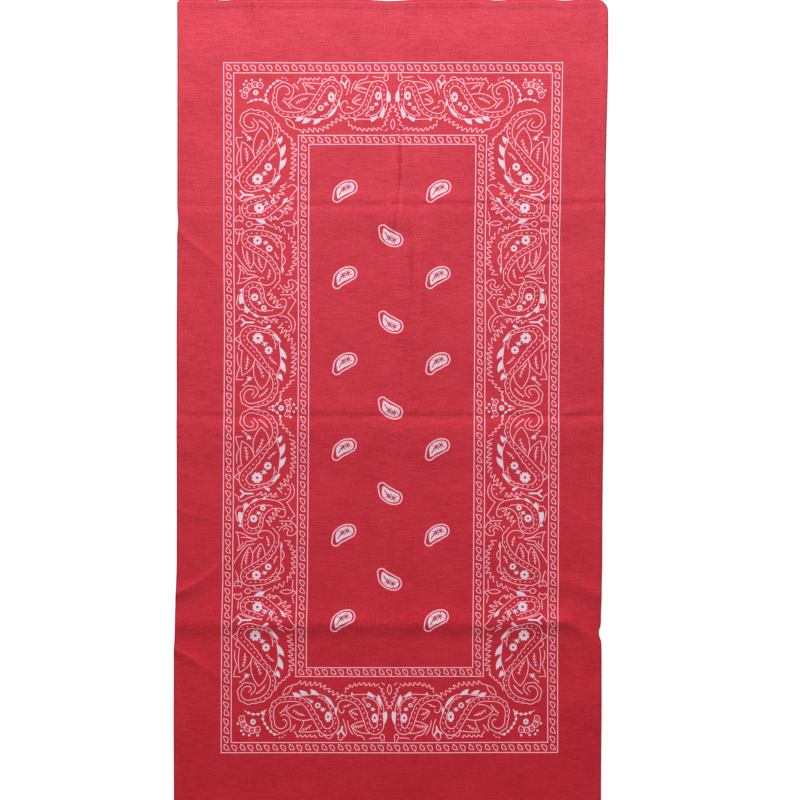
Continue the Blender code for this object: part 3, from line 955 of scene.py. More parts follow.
def draw_quarter():
    """All the ornaments of one quarter of the border."""
    pieces = []
    for row in PAISLEYS:
        drawn = draw_paisley(row)
        pieces += drawn
        if row.mirror:
            pieces += mapped(drawn, lambda p: complex(p.real, 2 * row.mirror - p.imag))
    pieces += drawn_tables(
        (bows, BOWS),
        (flame, FLAMES),
        (bone, BONES),
        (oval, OVALS),
        (heart, HEARTS),
        (comma, COMMAS),
        (disc, DOTS),
        (vine, VINES),
    )
    for middle, petals in ROSETTES:
        pieces += blossom(middle, 2.7, 0.85) + petal_fan(petals)
    return pieces


def rope_link(middle, number, upright):
    """One slanted loop with a straight side and a round one, which every second one turns over."""
    side = 1 if number % 2 else -1
    way = turned(radians(-60 if upright else -52)) * (3.35 + 0.15 * sin(3.1 * number))
    middle -= 0.24j * side * way
    back = arc(middle - way, middle + way, 0.41 * side, 8)
    return stroke(back + arc(middle + way, middle - way, 0.14 * side, 5)[1:-1], closed=True)


def draw_rope(rope):
    """Two framing lines with a row of links between them."""
    pieces = []
    for across, along in ((rope.outer_across, rope.outer_along), (rope.inner_across, rope.inner_along)):
        pieces += stroke(rectangle(across, along, 12.0), ROPE_LINE, closed=True)
    across = (rope.outer_across + rope.inner_across) / 2
    along = (rope.outer_along + rope.inner_along) / 2
    for half, offset, upright in ((across, 1j * along, False), (along, across, True)):
        count = round(2 * half / rope.pitch)
        first = 1 if upright else 0
        for side in (1, -1):
            for i in range(first, count + 1 - first):
                place = -half + 2 * half * i / count
                middle = (1j * place if upright else place) + side * offset
                pieces += rope_link(middle, i, upright)
    return mapped(pieces, lambda p: p + 1j * rope.middle)


def draw_field():
    """The small paisleys: an outline round a filled drop with a bare flowering stem in it."""
    ink, bare = [], []
    outline = drop(((-7.5 - 6.4j, 3.9), (-3.9 - 0.9j, 6.3), (1.6 + 2.9j, 6.9), (4.9 + 3.9j, 6.3)), 34)
    filled = drop(((-6.2 - 6.0j, 1.2), (-3.3 + 0j, 4.1), (1.8 + 3.2j, 5.0), (4.4 + 3.7j, 4.5)), 26)
    stem = stroke([-5.4 - 3.4j, -4.2 - 1.2j, -2.4 + 1.2j], 1.05)
    stars = star(-1.3 + 2.3j, 3.5, 7, 0.1, 0.66) + star(3.1 + 4.1j, 3.9, 7, 0.5, 0.66)
    for row in range(-5, 6):
        along = row * FIELD_ROW_STEP
        for across in (-FIELD_SIDE_ACROSS, FIELD_SIDE_ACROSS) if row % 2 else (0.0,):
            middle = complex(across, along) + (FIELD_SIDE_MOVE if row % 2 else FIELD_MIDDLE_MOVE)

            def placed(p):
                return middle + (p if row % 2 else p.conjugate())

            ink += mapped([*stroke(outline, FIELD_LINE, closed=True), filled], placed)
            bare += mapped(stem + stars, placed)
    return ink, bare


def draw_print():
    """Inked and bare shapes of the whole print, right side up, in mm from its middle."""
    quarter = draw_quarter()
    ink = []
    for side in (-1, 1):
        for end in (-1, 1):
            ink += mapped(quarter, lambda p: complex(side * p.real, end * p.imag))
    for rope in ROPES:
        ink += draw_rope(rope)
    field, bare = draw_field()
    return ink + field, bare


# -------------------------------------------------------------------------------------- settings
def linear(hex_colour):
    """An sRGB hex colour as linear red, green, blue and alpha."""
    channels = [int(hex_colour[i : i + 2], 16) / 255 for i in (0, 2, 4)]
    return (*((c / 12.92 if c <= 0.04045 else ((c + 0.055) / 1.055) ** 2.4) for c in channels), 1.0)


class ClothSettings(PropertyGroup):
    thickness: FloatProperty(
        name="Thickness", description="Thickness of the woven cotton", default=0.00035, unit="LENGTH"
    )
    grid_step: FloatProperty(
        name="Grid step", description="Spacing of the cloth's mesh between the print's lines",
        default=0.0055, unit="LENGTH",
    )
    under_step: FloatProperty(
        name="Grid step below", description="Spacing of the mesh on the cloth's underside",
        default=0.0065, unit="LENGTH",
    )
    dye: FloatVectorProperty(
        name="Dye", description="Colour of the dyed cotton", subtype="COLOR", default=linear("b92b37")[:3]
    )
    ink: FloatVectorProperty(
        name="Print", description="Colour of the printed pigment", subtype="COLOR",
        default=linear("d7c0cf")[:3],
    )
    thin_ink: FloatVectorProperty(
        name="Thin print", description="Colour of the pigment where it lies thin, on the print's lines",
        subtype="COLOR", default=linear("f0b1c2")[:3],
    )


class HemSettings(PropertyGroup):
    rise: FloatProperty(
        name="Rise", description="How far the cloth steps up over its turned hem", default=0.00066,
        unit="LENGTH",
    )
    layer: FloatProperty(
        name="Layer", description="Thickness of one turned layer", default=0.00029, unit="LENGTH"
    )
    inset: FloatProperty(
        name="Seam inset", description="How far the stitches run from the edge", default=0.0036,
        unit="LENGTH",
    )
    stitch_spacing: FloatProperty(
        name="Stitch spacing", description="From one stitch to the next", default=0.0030, unit="LENGTH"
    )
    stitch_length: FloatProperty(
        name="Stitch length", description="Length of thread that shows in one stitch", default=0.0024,
        unit="LENGTH",
    )
    thread: FloatProperty(
        name="Thread", description="Thickness of the sewing thread", default=0.00032, unit="LENGTH"
    )
    seed: IntProperty(name="Seed", description="Seed of the small turns of the stitches", default=7)


class StageSettings(PropertyGroup):
    camera_height: FloatProperty(
        name="Camera height", description="Height of the camera over the cloth", default=2.0, unit="LENGTH"
    )
    view_width: FloatProperty(
        name="View width", description="Width of cloth and floor that the camera takes in",
        default=0.7468, unit="LENGTH",
    )
    key_power: FloatProperty(
        name="Key light", description="Power of the large light past the far end",
        default=48.0, unit="POWER",
    )
    fill: FloatProperty(
        name="Fill", description="Strength of the even light from all round", default=0.55
    )


# ------------------------------------------------------------------------------------- materials
# The layers of the weave: metres from one yarn or patch to the next across, along and up, how fine
# its detail is, and how much it is bent
WEAVE = (
    # slubs across the cloth, and fainter ones along it
    ((0.014, 0.0011, 0.01), 3.0, 0.3),
    ((0.0013, 0.020, 0.01), 2.0, 0.2),
    # single threads
    ((0.0009, 0.0009, 0.01), 1.0, 0.0),
    # patches of dye
    ((0.050, 0.030, 0.01), 3.0, 0.4),
    # shallow wrinkles
    ((0.024, 0.0055, 0.01), 2.0, 0.7),
)
# How much each layer of the weave adds to the relief, and its height
WEAVE_RELIEF = (0.6, 0.2, 0.6, 0.0, 1.5)
WEAVE_HEIGHT = 0.0002


def add_node(tree, kind, inputs=(), **settings):
    """A node with its settings; inputs are pairs of a socket's name or number and a value or an output."""
    node = tree.nodes.new(kind)
    for name, value in settings.items():
        setattr(node, name, value)
    for socket, value in inputs:
        if isinstance(value, bpy.types.NodeSocket):
            tree.links.new(value, node.inputs[socket])
        else:
            node.inputs[socket].default_value = value
    return node


def product(tree, a, b, kind="ShaderNodeMath"):
    """The output of a node that multiplies two values or outputs."""
    return add_node(tree, kind, [(0, a), (1, b)], operation="MULTIPLY").outputs[0]


def new_material(name):
    material = bpy.data.materials.new(name)
    material.use_nodes = True
    tree = material.node_tree
    tree.nodes.clear()
    shader = add_node(tree, "ShaderNodeBsdfPrincipled")
    output = add_node(tree, "ShaderNodeOutputMaterial")
    tree.links.new(shader.outputs[0], output.inputs[0])
    return material, tree, shader


def weave(tree):
    """Yarns of a plain weave, as light-to-dark values: slubs that run across the cloth, fainter
    ones along it, the single threads, patches where the dye took better, and shallow wrinkles.
    Real threads are 0.4 mm apart; they are drawn 0.9 mm apart here, and the slubs thicker too,
    because at true size they would not show."""
    coordinates = add_node(tree, "ShaderNodeTexCoord")
    layers = []
    for size, detail, bent in WEAVE:
        mapping = add_node(tree, "ShaderNodeMapping", [
            ("Vector", coordinates.outputs["Object"]),
            ("Scale", tuple(1 / way for way in size)),
        ])
        noise = add_node(tree, "ShaderNodeTexNoise", [
            ("Vector", mapping.outputs[0]),
            ("Scale", 1.0),
            ("Detail", detail),
            ("Roughness", 0.6),
            ("Distortion", bent),
        ])
        layers.append(noise.outputs["Fac"])
    return coordinates, layers


def mixed(tree, layers, shares):
    """The layers added up, each less its middle value, times its share."""
    total = None
    for layer, share in zip(layers, shares):
        part = add_node(tree, "ShaderNodeMath", [(0, layer), (1, 0.5)], operation="SUBTRACT")
        base = total if total is not None else 0.0
        step = add_node(tree, "ShaderNodeMath", [(0, part.outputs[0]), (1, share), (2, base)],
                        operation="MULTIPLY_ADD")
        total = step.outputs[0]
    return total


def painted_light_gradient(tree, coordinates, near, far):
    """A colour that goes from the near one to the lighter one at the cloth's far end: painted light, as the
    light falls stronger there and glare makes it paler.
    """
    place = add_node(tree, "ShaderNodeSeparateXYZ", [(0, coordinates.outputs["Object"])])
    share = add_node(tree, "ShaderNodeMapRange", [
        ("Value", place.outputs["Y"]),
        ("From Min", -LENGTH / 2),
        ("From Max", LENGTH / 2),
    ])
    fade = add_node(tree, "ShaderNodeMath", [(0, share.outputs[0]), (1, 1.5)], operation="POWER")
    mix = add_node(tree, "ShaderNodeMix", [("Factor", fade.outputs[0]), (6, near), (7, far)],
                   data_type="RGBA")
    return mix.outputs[2]


def cotton(name, near, far, shares, swing, bump, roughness, sheen):
    """A matte plain-weave cotton finish. Its red, green and blue vary by the swing with the weave's
    layers, in their shares, and it goes from its near to its far colour along the cloth: painted light."""
    material, tree, shader = new_material(name)
    coordinates, layers = weave(tree)
    # The dye with painted light: lighter and paler towards the far end
    dye = painted_light_gradient(tree, coordinates, near, far)
    yarns = mixed(tree, layers, shares)
    value = add_node(tree, "ShaderNodeVectorMath", [(0, swing), (1, yarns), (2, (1, 1, 1))],
                     operation="MULTIPLY_ADD")
    shade = product(tree, dye, value.outputs[0], "ShaderNodeVectorMath")
    tree.links.new(shade, shader.inputs["Base Color"])
    weave_bump = add_node(tree, "ShaderNodeBump", [
        ("Height", mixed(tree, layers, WEAVE_RELIEF)),
        ("Strength", bump),
        ("Distance", WEAVE_HEIGHT),
    ])
    tree.links.new(weave_bump.outputs[0], shader.inputs["Normal"])
    shader.inputs["Roughness"].default_value = roughness
    shader.inputs["IOR"].default_value = 1.45
    shader.inputs["Specular IOR Level"].default_value = 0.15
    shader.inputs["Sheen Weight"].default_value = sheen
    shader.inputs["Sheen Roughness"].default_value = 0.5
    shader.inputs["Sheen Tint"].default_value = linear("f4c8cc")
    return material


def scaled(colour, shares):
    return (*(channel * share for channel, share in zip(colour, shares)), 1.0)


def dyed_cotton(settings):
    """Dyed plain-weave cotton: matte red with slubs that run across, painted lighter and paler towards
    the far end as painted light. Thick yarns are paler, more in green and blue than in red."""
    # Darker at the near end and lighter, paler at the far end: painted light
    near = scaled(settings.dye, (0.94, 0.64, 0.72))
    far = scaled(settings.dye, (1.14, 2.04, 1.96))
    return cotton("dyed_plain_weave_cotton", near, far, shares=(1.1, 0.4, 1.6, 0.5),
                  swing=(0.5, 1.2, 1.1), bump=0.6, roughness=0.88, sheen=0.05)


def printed_pigment(settings):
    """Pale pigment printed on the weave: chalky and opaque, with the yarns showing through."""
    ink = (*settings.ink, 1.0)
    return cotton("pigment_print_on_cotton", ink, ink, shares=(0.3, 0.2, 0.5, 0.1),
                  swing=(0.5, 0.8, 0.7), bump=0.5, roughness=0.80, sheen=0.03)


def thin_pigment(settings):
    """The same pigment in a thin line: rosier, as less of it lies there and the red shows through."""
    # Lighter and paler towards the far end: painted light, as on the cloth
    near = scaled(settings.thin_ink, (1.04, 0.99, 0.99))
    far = scaled(settings.thin_ink, (1.0, 1.15, 1.14))
    return cotton("thin_pigment_line_on_cotton", near, far, shares=(0.3, 0.2, 0.5, 0.1),
                  swing=(0.5, 0.8, 0.7), bump=0.5, roughness=0.80, sheen=0.03)


def hem_cotton(settings):
    """The same cotton where it is turned in two layers: a shade deeper, its weave crossing."""
    # Lighter and paler towards the far end: painted light, as on the cloth
    near = scaled(settings.dye, (0.86, 0.62, 0.72))
    far = scaled(settings.dye, (1.04, 1.6, 1.6))
    return cotton("turned_cotton_hem", near, far, shares=(0.7, 0.7, 0.6, 0.3),
                  swing=(0.4, 1.3, 1.15), bump=0.6, roughness=0.90, sheen=0.05)


def edge_painted_shade_cotton(settings):
    """The same cotton at the sharp bend of the cloth's edge, painted darker: painted shade of its turn."""
    # Lighter and paler towards the far end: painted light, as on the cloth
    near = scaled(settings.dye, (0.60, 0.36, 0.40))
    far = scaled(settings.dye, (0.72, 0.95, 0.95))
    return cotton("cotton_edge_painted_shade", near, far, shares=(1.0, 0.5, 1.2, 1.5),
                  swing=(0.5, 1.2, 1.1), bump=0.6, roughness=0.90, sheen=0.05)


def sewing_thread(settings):
    """Spun polyester sewing thread: close to the cloth's own red, softly glossy, twisted."""
    material, tree, shader = new_material("spun_sewing_thread")
    coordinates = add_node(tree, "ShaderNodeTexCoord")
    mapping = add_node(tree, "ShaderNodeMapping", [
        ("Vector", coordinates.outputs["Object"]),
        ("Rotation", (0.0, 0.0, radians(35))),
        ("Scale", (3000.0, 3000.0, 3000.0)),
    ])
    twist = add_node(tree, "ShaderNodeTexWave", [
        ("Vector", mapping.outputs[0]),
        ("Scale", 0.35),
        ("Distortion", 1.5),
    ])
    swing = add_node(tree, "ShaderNodeMapRange", [
        ("Value", twist.outputs["Fac"]),
        ("To Min", 0.88),
        ("To Max", 1.14),
    ])
    # Lighter and paler towards the far end: painted light, as on the cloth
    near = scaled(settings.dye, (1.0, 1.1, 1.1))
    far = scaled(settings.dye, (1.25, 2.5, 2.4))
    dye = painted_light_gradient(tree, coordinates, near, far)
    shade = product(tree, dye, swing.outputs[0], "ShaderNodeVectorMath")
    tree.links.new(shade, shader.inputs["Base Color"])
    shader.inputs["Roughness"].default_value = 0.55
    shader.inputs["IOR"].default_value = 1.5
    return material


# ----------------------------------------------------------------------------------- cloth mesh
# Half of the cut cloth, in mm
HALF_WIDTH = WIDTH / 2 / MM
HALF_LENGTH = LENGTH / 2 / MM
# Points on the cloth's edge, in mm: from one to the next, the least from there to a point of a
# corner or a fold, and how far from a corner its points are
EDGE_SPACING = 4.5
EDGE_CLEARANCE = 0.8
CORNER_INSETS = (1.2, 2.6, 4.2, 6.0, 8.2)
# How far in from the edge the rows lie over its bend, the hem and the slope down from it, in mm
HEM_ROWS = (0.4, 0.9, HEM_WIDTH / MM, 6.0, 8.0, (HEM_WIDTH + HEM_SLOPE) / MM)
# Squares, in mm, that hold one point of the grid at most, and that faces are looked up in
GRID_CELL = 2.4
LOOKUP_CELL = 4.0


class Plan:
    """Points and lines on the cut cloth, in mm, gathered for one triangulation."""

    def __init__(self):
        self.points = []
        self.numbers = {}
        self.edges = []

    def point(self, p):
        key = (round(p.real, 3), round(p.imag, 3))
        if key not in self.numbers:
            self.numbers[key] = len(self.points)
            self.points.append(key)
        return self.numbers[key]

    def line(self, points, closed=False):
        """Adds a line that the edges of the triangles keep to."""
        numbers = [self.point(p) for p in points]
        if closed:
            numbers.append(numbers[0])
        self.edges += [(a, b) for a, b in zip(numbers, numbers[1:]) if a != b]

    def triangles(self):
        """The points in metres, the triangles, and where each of the plan's own points is now."""
        flat = [Vector(point) for point in self.points]
        points, _, faces, origins, _, _ = delaunay_2d_cdt(flat, self.edges, [], 0, 1e-5)
        places = {old: new for new, olds in enumerate(origins) for old in olds}
        return np.array([tuple(point) for point in points]) * MM, np.array(faces), places


def covered(centres, outlines):
    """Whether each of the centres, in mm, lies in one of the outlines."""
    cell = LOOKUP_CELL
    cells = {}
    for number, place in enumerate(np.floor(centres / cell).astype(int).tolist()):
        cells.setdefault(tuple(place), []).append(number)
    result = np.zeros(len(centres), dtype=bool)
    for outline in outlines:
        across, along = [p.real for p in outline], [p.imag for p in outline]
        near = [
            number
            for i in range(floor(min(across) / cell), floor(max(across) / cell) + 1)
            for j in range(floor(min(along) / cell), floor(max(along) / cell) + 1)
            for number in cells.get((i, j), ())
        ]
        x, y = centres[near].T
        inside = np.zeros(len(near), dtype=bool)
        for a, b in zip(outline, outline[1:] + outline[:1]):
            if a.imag != b.imag:
                between_ends = (a.imag > y) != (b.imag > y)
                inside ^= between_ends & (x < a.real + (y - a.imag) * (b.real - a.real) / (b.imag - a.imag))
        result[near] |= inside
    return result


def fold_line(fold):
    """The line of a fold, up to where it fades out or meets an edge, in mm, as complex points."""
    line = [complex(across, along) for across, along, _ in fold.line]
    for end, inner in ((0, 1), (-1, -2)):
        way = (line[end] - line[inner]) / abs(line[end] - line[inner])
        reach = abs(line[end] - line[inner]) + FOLD_END_FADE
        for limit, start, speed in (
            (HALF_WIDTH, line[inner].real, way.real),
            (HALF_LENGTH, line[inner].imag, way.imag),
        ):
            if speed:
                reach = min(reach, (limit - start) / speed if speed > 0 else (-limit - start) / speed)
        line[end] = line[inner] + way * reach
    return even(line, 7.0)


def edge_places(edge):
    """Places along an edge from corner to corner, in mm: evenly spaced ones, closer ones round the
    corners, and those where a fold runs out over the edge."""
    half, other = (HALF_WIDTH, HALF_LENGTH) if edge in ("top", "bottom") else (HALF_LENGTH, HALF_WIDTH)
    special = [side * (half - inset) for inset in CORNER_INSETS for side in (-1, 1)]
    for fold in FOLDS + FINE_FOLDS:
        line = fold_line(fold)
        for p in (line[0], line[-1]):
            place, out = (p.real, p.imag) if edge in ("top", "bottom") else (p.imag, p.real)
            if abs((out if edge in ("top", "right") else -out) - other) < 0.01:
                special += [place - 2.0, place, place + 2.0]
    places = np.linspace(-half, half, round(2 * half / EDGE_SPACING) + 1).tolist()
    free = [place for place in places if min(abs(place - kept) for kept in special) > EDGE_CLEARANCE]
    return sorted(free + special)


def cloth_plan(step, outlines):
    """The edge, the outlines of the print, the hem's lines, the folds and a grid."""
    plan = Plan()
    places = {edge: edge_places(edge) for edge in ("top", "bottom", "left", "right")}
    rim = [complex(x, -HALF_LENGTH) for x in places["bottom"][:-1]]
    rim += [complex(HALF_WIDTH, y) for y in places["right"][:-1]]
    rim += [complex(x, HALF_LENGTH) for x in places["top"][:0:-1]]
    rim += [complex(-HALF_WIDTH, y) for y in places["left"][:0:-1]]
    plan.line(rim, closed=True)
    for outline in outlines:
        plan.line(outline, closed=True)
    for inset in HEM_ROWS:
        x_end, y_end = HALF_WIDTH - inset, HALF_LENGTH - inset
        for edge, side in (("top", 1), ("bottom", -1)):
            for x in (x for x in places[edge] if abs(x) < x_end - 0.2):
                plan.point(complex(x, side * y_end))
            plan.point(complex(side * x_end, y_end))
            plan.point(complex(side * x_end, -y_end))
        for edge, side in (("right", 1), ("left", -1)):
            for y in (y for y in places[edge] if abs(y) < y_end - 0.2):
                plan.point(complex(side * x_end, y))

    # Rows beside the folds and then the grid keep clear of the points that are there already
    extra = []
    for fold in FOLDS + FINE_FOLDS:
        line = fold_line(fold)
        plan.line(line)
        for side, crest, foot in (
            (1, fold.left_crest, fold.left_foot),
            (-1, fold.right_crest, fold.right_foot),
        ):
            beside = [0.6 * crest] if crest else []
            if 0 < crest < 3:
                beside = [0.5 * crest, crest]
            elif foot < 3.5:
                beside = [0.4 * foot, foot]
            for offset in beside:
                plan.line([p + side * n * offset for p, n in zip(line[1:-1], normals(line)[1:-1])])
            shares = (crest * 1.2, (crest + foot) / 2, foot) if crest else (0.25 * foot, 0.5 * foot, foot)
            extra += [p + side * n * offset for offset in shares for p, n in zip(line, normals(line))]
    for x in np.arange(-HALF_WIDTH + step, HALF_WIDTH, step):
        extra += [complex(x, y) for y in np.arange(-HALF_LENGTH + step, HALF_LENGTH, step)]
    inner = HEM_ROWS[-1] + 1.5
    taken = {(round(x / GRID_CELL), round(y / GRID_CELL)) for x, y in plan.points}
    for p in extra:
        place = (round(p.real / GRID_CELL), round(p.imag / GRID_CELL))
        if place not in taken and abs(p.real) < HALF_WIDTH - inner and abs(p.imag) < HALF_LENGTH - inner:
            taken.add(place)
            plan.point(p)
    return plan, len(rim)


def cloth_height(across, along, rise):
    """Height of the cloth's underside: the folds, the step over the hem, and the edge turned down."""
    inward = inward_distance(across, along)
    step = rise * smooth(1 - (inward - HEM_WIDTH) / HEM_SLOPE)
    turned_down = EDGE_DROP * rise * smooth(1 - inward / EDGE_BEND)
    return relief(across, along) + step - turned_down


def surface_normals(across, along, rise):
    """The cloth's upward normals, from the slope of its height."""
    h = 0.0003
    slope_x = (cloth_height(across + h, along, rise) - cloth_height(across - h, along, rise)) / (2 * h)
    slope_y = (cloth_height(across, along + h, rise) - cloth_height(across, along - h, rise)) / (2 * h)
    up = np.stack([-slope_x, -slope_y, np.ones_like(slope_x)], axis=1)
    return up / np.linalg.norm(up, axis=1)[:, None]


# The cloth's finishes, in the order of its materials; the last is painted shade at the edge's turn
BARE, FILLED, LINED, PAINTED_SHADE_EDGE = range(4)
# Where the bare cloth, the print, and the underside with the edge lie in the bake's map:
# the start across and the width, as shares of the map
MAP_STRIPS = {"cloth": (0.01, 0.31), "print": (0.345, 0.31), "under": (0.68, 0.31)}


def map_place(across, along, strip):
    start, width = MAP_STRIPS[strip]
    u = start + width * (across / WIDTH + 0.5)
    v = 0.01 + 0.98 * (along / LENGTH + 0.5)
    return u, v


def make_cloth(settings, hems, materials):
    """One closed shell: the printed top, the plain underside and a round edge between them."""
    ink, bare = draw_print()
    top_plan, rim_count = cloth_plan(settings.grid_step / MM, ink + bare)
    top, top_faces, top_rim = top_plan.triangles()
    under_plan, _ = cloth_plan(settings.under_step / MM, [])
    under, under_faces, under_rim = under_plan.triangles()

    x, y = laid(top[:, 0], top[:, 1])
    z = cloth_height(top[:, 0], top[:, 1], hems.rise)
    top_points = np.stack([x, y, z + settings.thickness], axis=1)
    x, y = laid(under[:, 0], under[:, 1])
    z = cloth_height(under[:, 0], under[:, 1], hems.rise)
    under_points = np.stack([x, y, z], axis=1)
    upper = [top_rim[i] for i in range(rim_count)]
    lower = [under_rim[i] for i in range(rim_count)]
    ring = (top_points[upper] + under_points[lower]) / 2
    ahead = np.roll(ring, -1, axis=0) - np.roll(ring, 1, axis=0)
    outward = np.stack([ahead[:, 1], -ahead[:, 0], np.zeros(rim_count)], axis=1)
    outward /= np.linalg.norm(outward, axis=1)[:, None]
    edge_points = ring + outward * settings.thickness / 2

    centres = top[top_faces].mean(axis=1)
    finishes, printed = top_finishes(centres, ink, bare)
    faces = top_faces.tolist()
    faces += (under_faces[:, ::-1] + len(top)).tolist()
    lower = [len(top) + i for i in lower]
    edge = [len(top) + len(under) + i for i in range(rim_count)]
    for i in range(rim_count):
        j = (i + 1) % rim_count
        faces += [(upper[j], upper[i], edge[i], edge[j]), (edge[j], edge[i], lower[i], lower[j])]
    strips = np.where(printed, "print", "cloth").tolist()
    strips += ["under"] * (len(faces) - len(top_faces))

    mesh = bpy.data.meshes.new("cloth")
    mesh.from_pydata(np.concatenate([top_points, under_points, edge_points]).tolist(), [], faces)
    for material in materials:
        mesh.materials.append(material)
    # The underside takes the bare cotton; the edge's faces take the darker finish, which is painted shade
    finishes = np.concatenate([finishes, np.full(len(under_faces), BARE), np.full(2 * rim_count, PAINTED_SHADE_EDGE)])
    mesh.polygons.foreach_set("material_index", finishes.astype(np.int32))
    mesh.polygons.foreach_set("use_smooth", [True] * len(faces))
    add_bake_map(mesh, faces, strips, np.concatenate([top, under, top[upper]]))

    up = surface_normals(top[:, 0], top[:, 1], hems.rise)
    down = -surface_normals(under[:, 0], under[:, 1], hems.rise)
    mesh.normals_split_custom_set_from_vertices(np.concatenate([up, down, outward]).tolist())
    return finished("cloth", mesh)


def top_finishes(centres, ink, bare):
    """The finish of each face of the cloth's top, from its middle, and whether it is printed."""
    unprinted = covered(centres / MM, bare)
    solid_ink = [piece for piece in ink if not isinstance(piece, ThinPiece)]
    thin_ink = [piece for piece in ink if isinstance(piece, ThinPiece)]
    filled = covered(centres / MM, solid_ink) & ~unprinted
    lined = covered(centres / MM, thin_ink) & ~unprinted
    # The outer ring of the top is painted darker: painted shade where the edge turns down
    painted_edge_shade = inward_distance(centres[:, 0], centres[:, 1]) < EDGE_BEND
    finishes = np.select([painted_edge_shade, filled, lined], [PAINTED_SHADE_EDGE, FILLED, LINED], BARE)
    return finishes, filled | lined


def add_bake_map(mesh, faces, strips, places):
    """The map that the finishes are baked by: each face lies in its strip, at its flat place."""
    uv = mesh.uv_layers.new(name="OFBake")
    corners = np.empty(len(mesh.loops), dtype=np.int32)
    mesh.loops.foreach_get("vertex_index", corners)
    corner_strips = np.repeat(np.array(strips), [len(face) for face in faces])
    coordinates = np.empty((len(corners), 2))
    for strip in MAP_STRIPS:
        chosen = corner_strips == strip
        u, v = map_place(places[corners[chosen], 0], places[corners[chosen], 1], strip)
        coordinates[chosen] = np.stack([u, v], axis=1)
    uv.data.foreach_set("uv", coordinates.ravel())


def finished(name, mesh):
    obj = bpy.data.objects.new(name, mesh)
    bpy.context.collection.objects.link(obj)
    return obj


# -------------------------------------------------------------------------------- hems and stitches
# From one point of the seam's line to the next, how far that line lies over the cloth as a share of
# the thread, and how far a stitch turns at most about each axis
SEAM_STEP = 0.002
SEAM_LIFT = 0.3
STITCH_TURN = (0.03, 0.03, 0.07)


def hem_section(layer):
    """The cross-section of a hem turned in twice, as (inward from the edge, height) points.
    It is round at the fold, and its two layers part a little at the inner side."""
    lift, back = 0.00002, 0.00008
    top = 2 * layer + 0.00001
    radius = top / 2
    points = [(HEM_WIDTH, lift), (HEM_WIDTH / 2, lift)]
    for angle in range(-90, -271, -36):
        a = radians(angle)
        points.append((back + radius + radius * cos(a), lift + radius + radius * sin(a)))
    points += [
        (HEM_WIDTH / 2, top),
        (HEM_WIDTH - 0.0001, top),
        (HEM_WIDTH, top - 0.00006),
        # the gap between the layers
        (HEM_WIDTH, layer + 0.00005),
        (HEM_WIDTH - 0.0005, layer + 0.00001),
        (HEM_WIDTH, layer - 0.00003),
    ]
    return points


def make_hem(name, edge, ends, settings, material):
    """A folded strip under one edge, swept along it over the cloth's folds."""
    section = hem_section(settings.layer)
    start, end = ends
    places = [place * MM for place in edge_places(edge) if start < place * MM < end]
    places = np.array([start, *places, end])
    count = len(places) - 1
    inward = np.array([point[0] for point in section])
    height = np.array([point[1] for point in section])
    lengthwise = np.repeat(places, len(section))
    inset = np.tile(inward, len(places))
    side = 1 if edge in ("top", "right") else -1
    if edge in ("top", "bottom"):
        across, along = lengthwise, side * (LENGTH / 2 - inset)
    else:
        across, along = side * (WIDTH / 2 - inset), lengthwise
    x, y = laid(across, along)
    z = relief(across, along) + np.tile(height, len(places))
    faces = []
    n = len(section)
    for i in range(count):
        for k in range(n):
            faces.append((i * n + k, i * n + (k + 1) % n, (i + 1) * n + (k + 1) % n, (i + 1) * n + k))
    faces += [tuple(reversed(range(n))), tuple(range(count * n, count * n + n))]
    if edge in ("top", "left"):
        faces = [tuple(reversed(face)) for face in faces]
    mesh = bpy.data.meshes.new(name)
    mesh.from_pydata(np.stack([x, y, z], axis=1).tolist(), [], faces)
    mesh.materials.append(material)
    mesh.shade_smooth()
    mesh.set_sharp_from_angle(angle=radians(50))
    return finished(name, mesh)


def seam_line(inset, cloth, hems):
    """The closed line of the hem's seam on top of the cloth, as points in metres."""
    points = np.array(rectangle(WIDTH / 2 - inset, LENGTH / 2 - inset, SEAM_STEP))
    across, along = points.real, points.imag
    x, y = laid(across, along)
    z = cloth_height(across, along, hems.rise) + cloth.thickness + SEAM_LIFT * hems.thread
    return np.stack([x, y, z], axis=1)


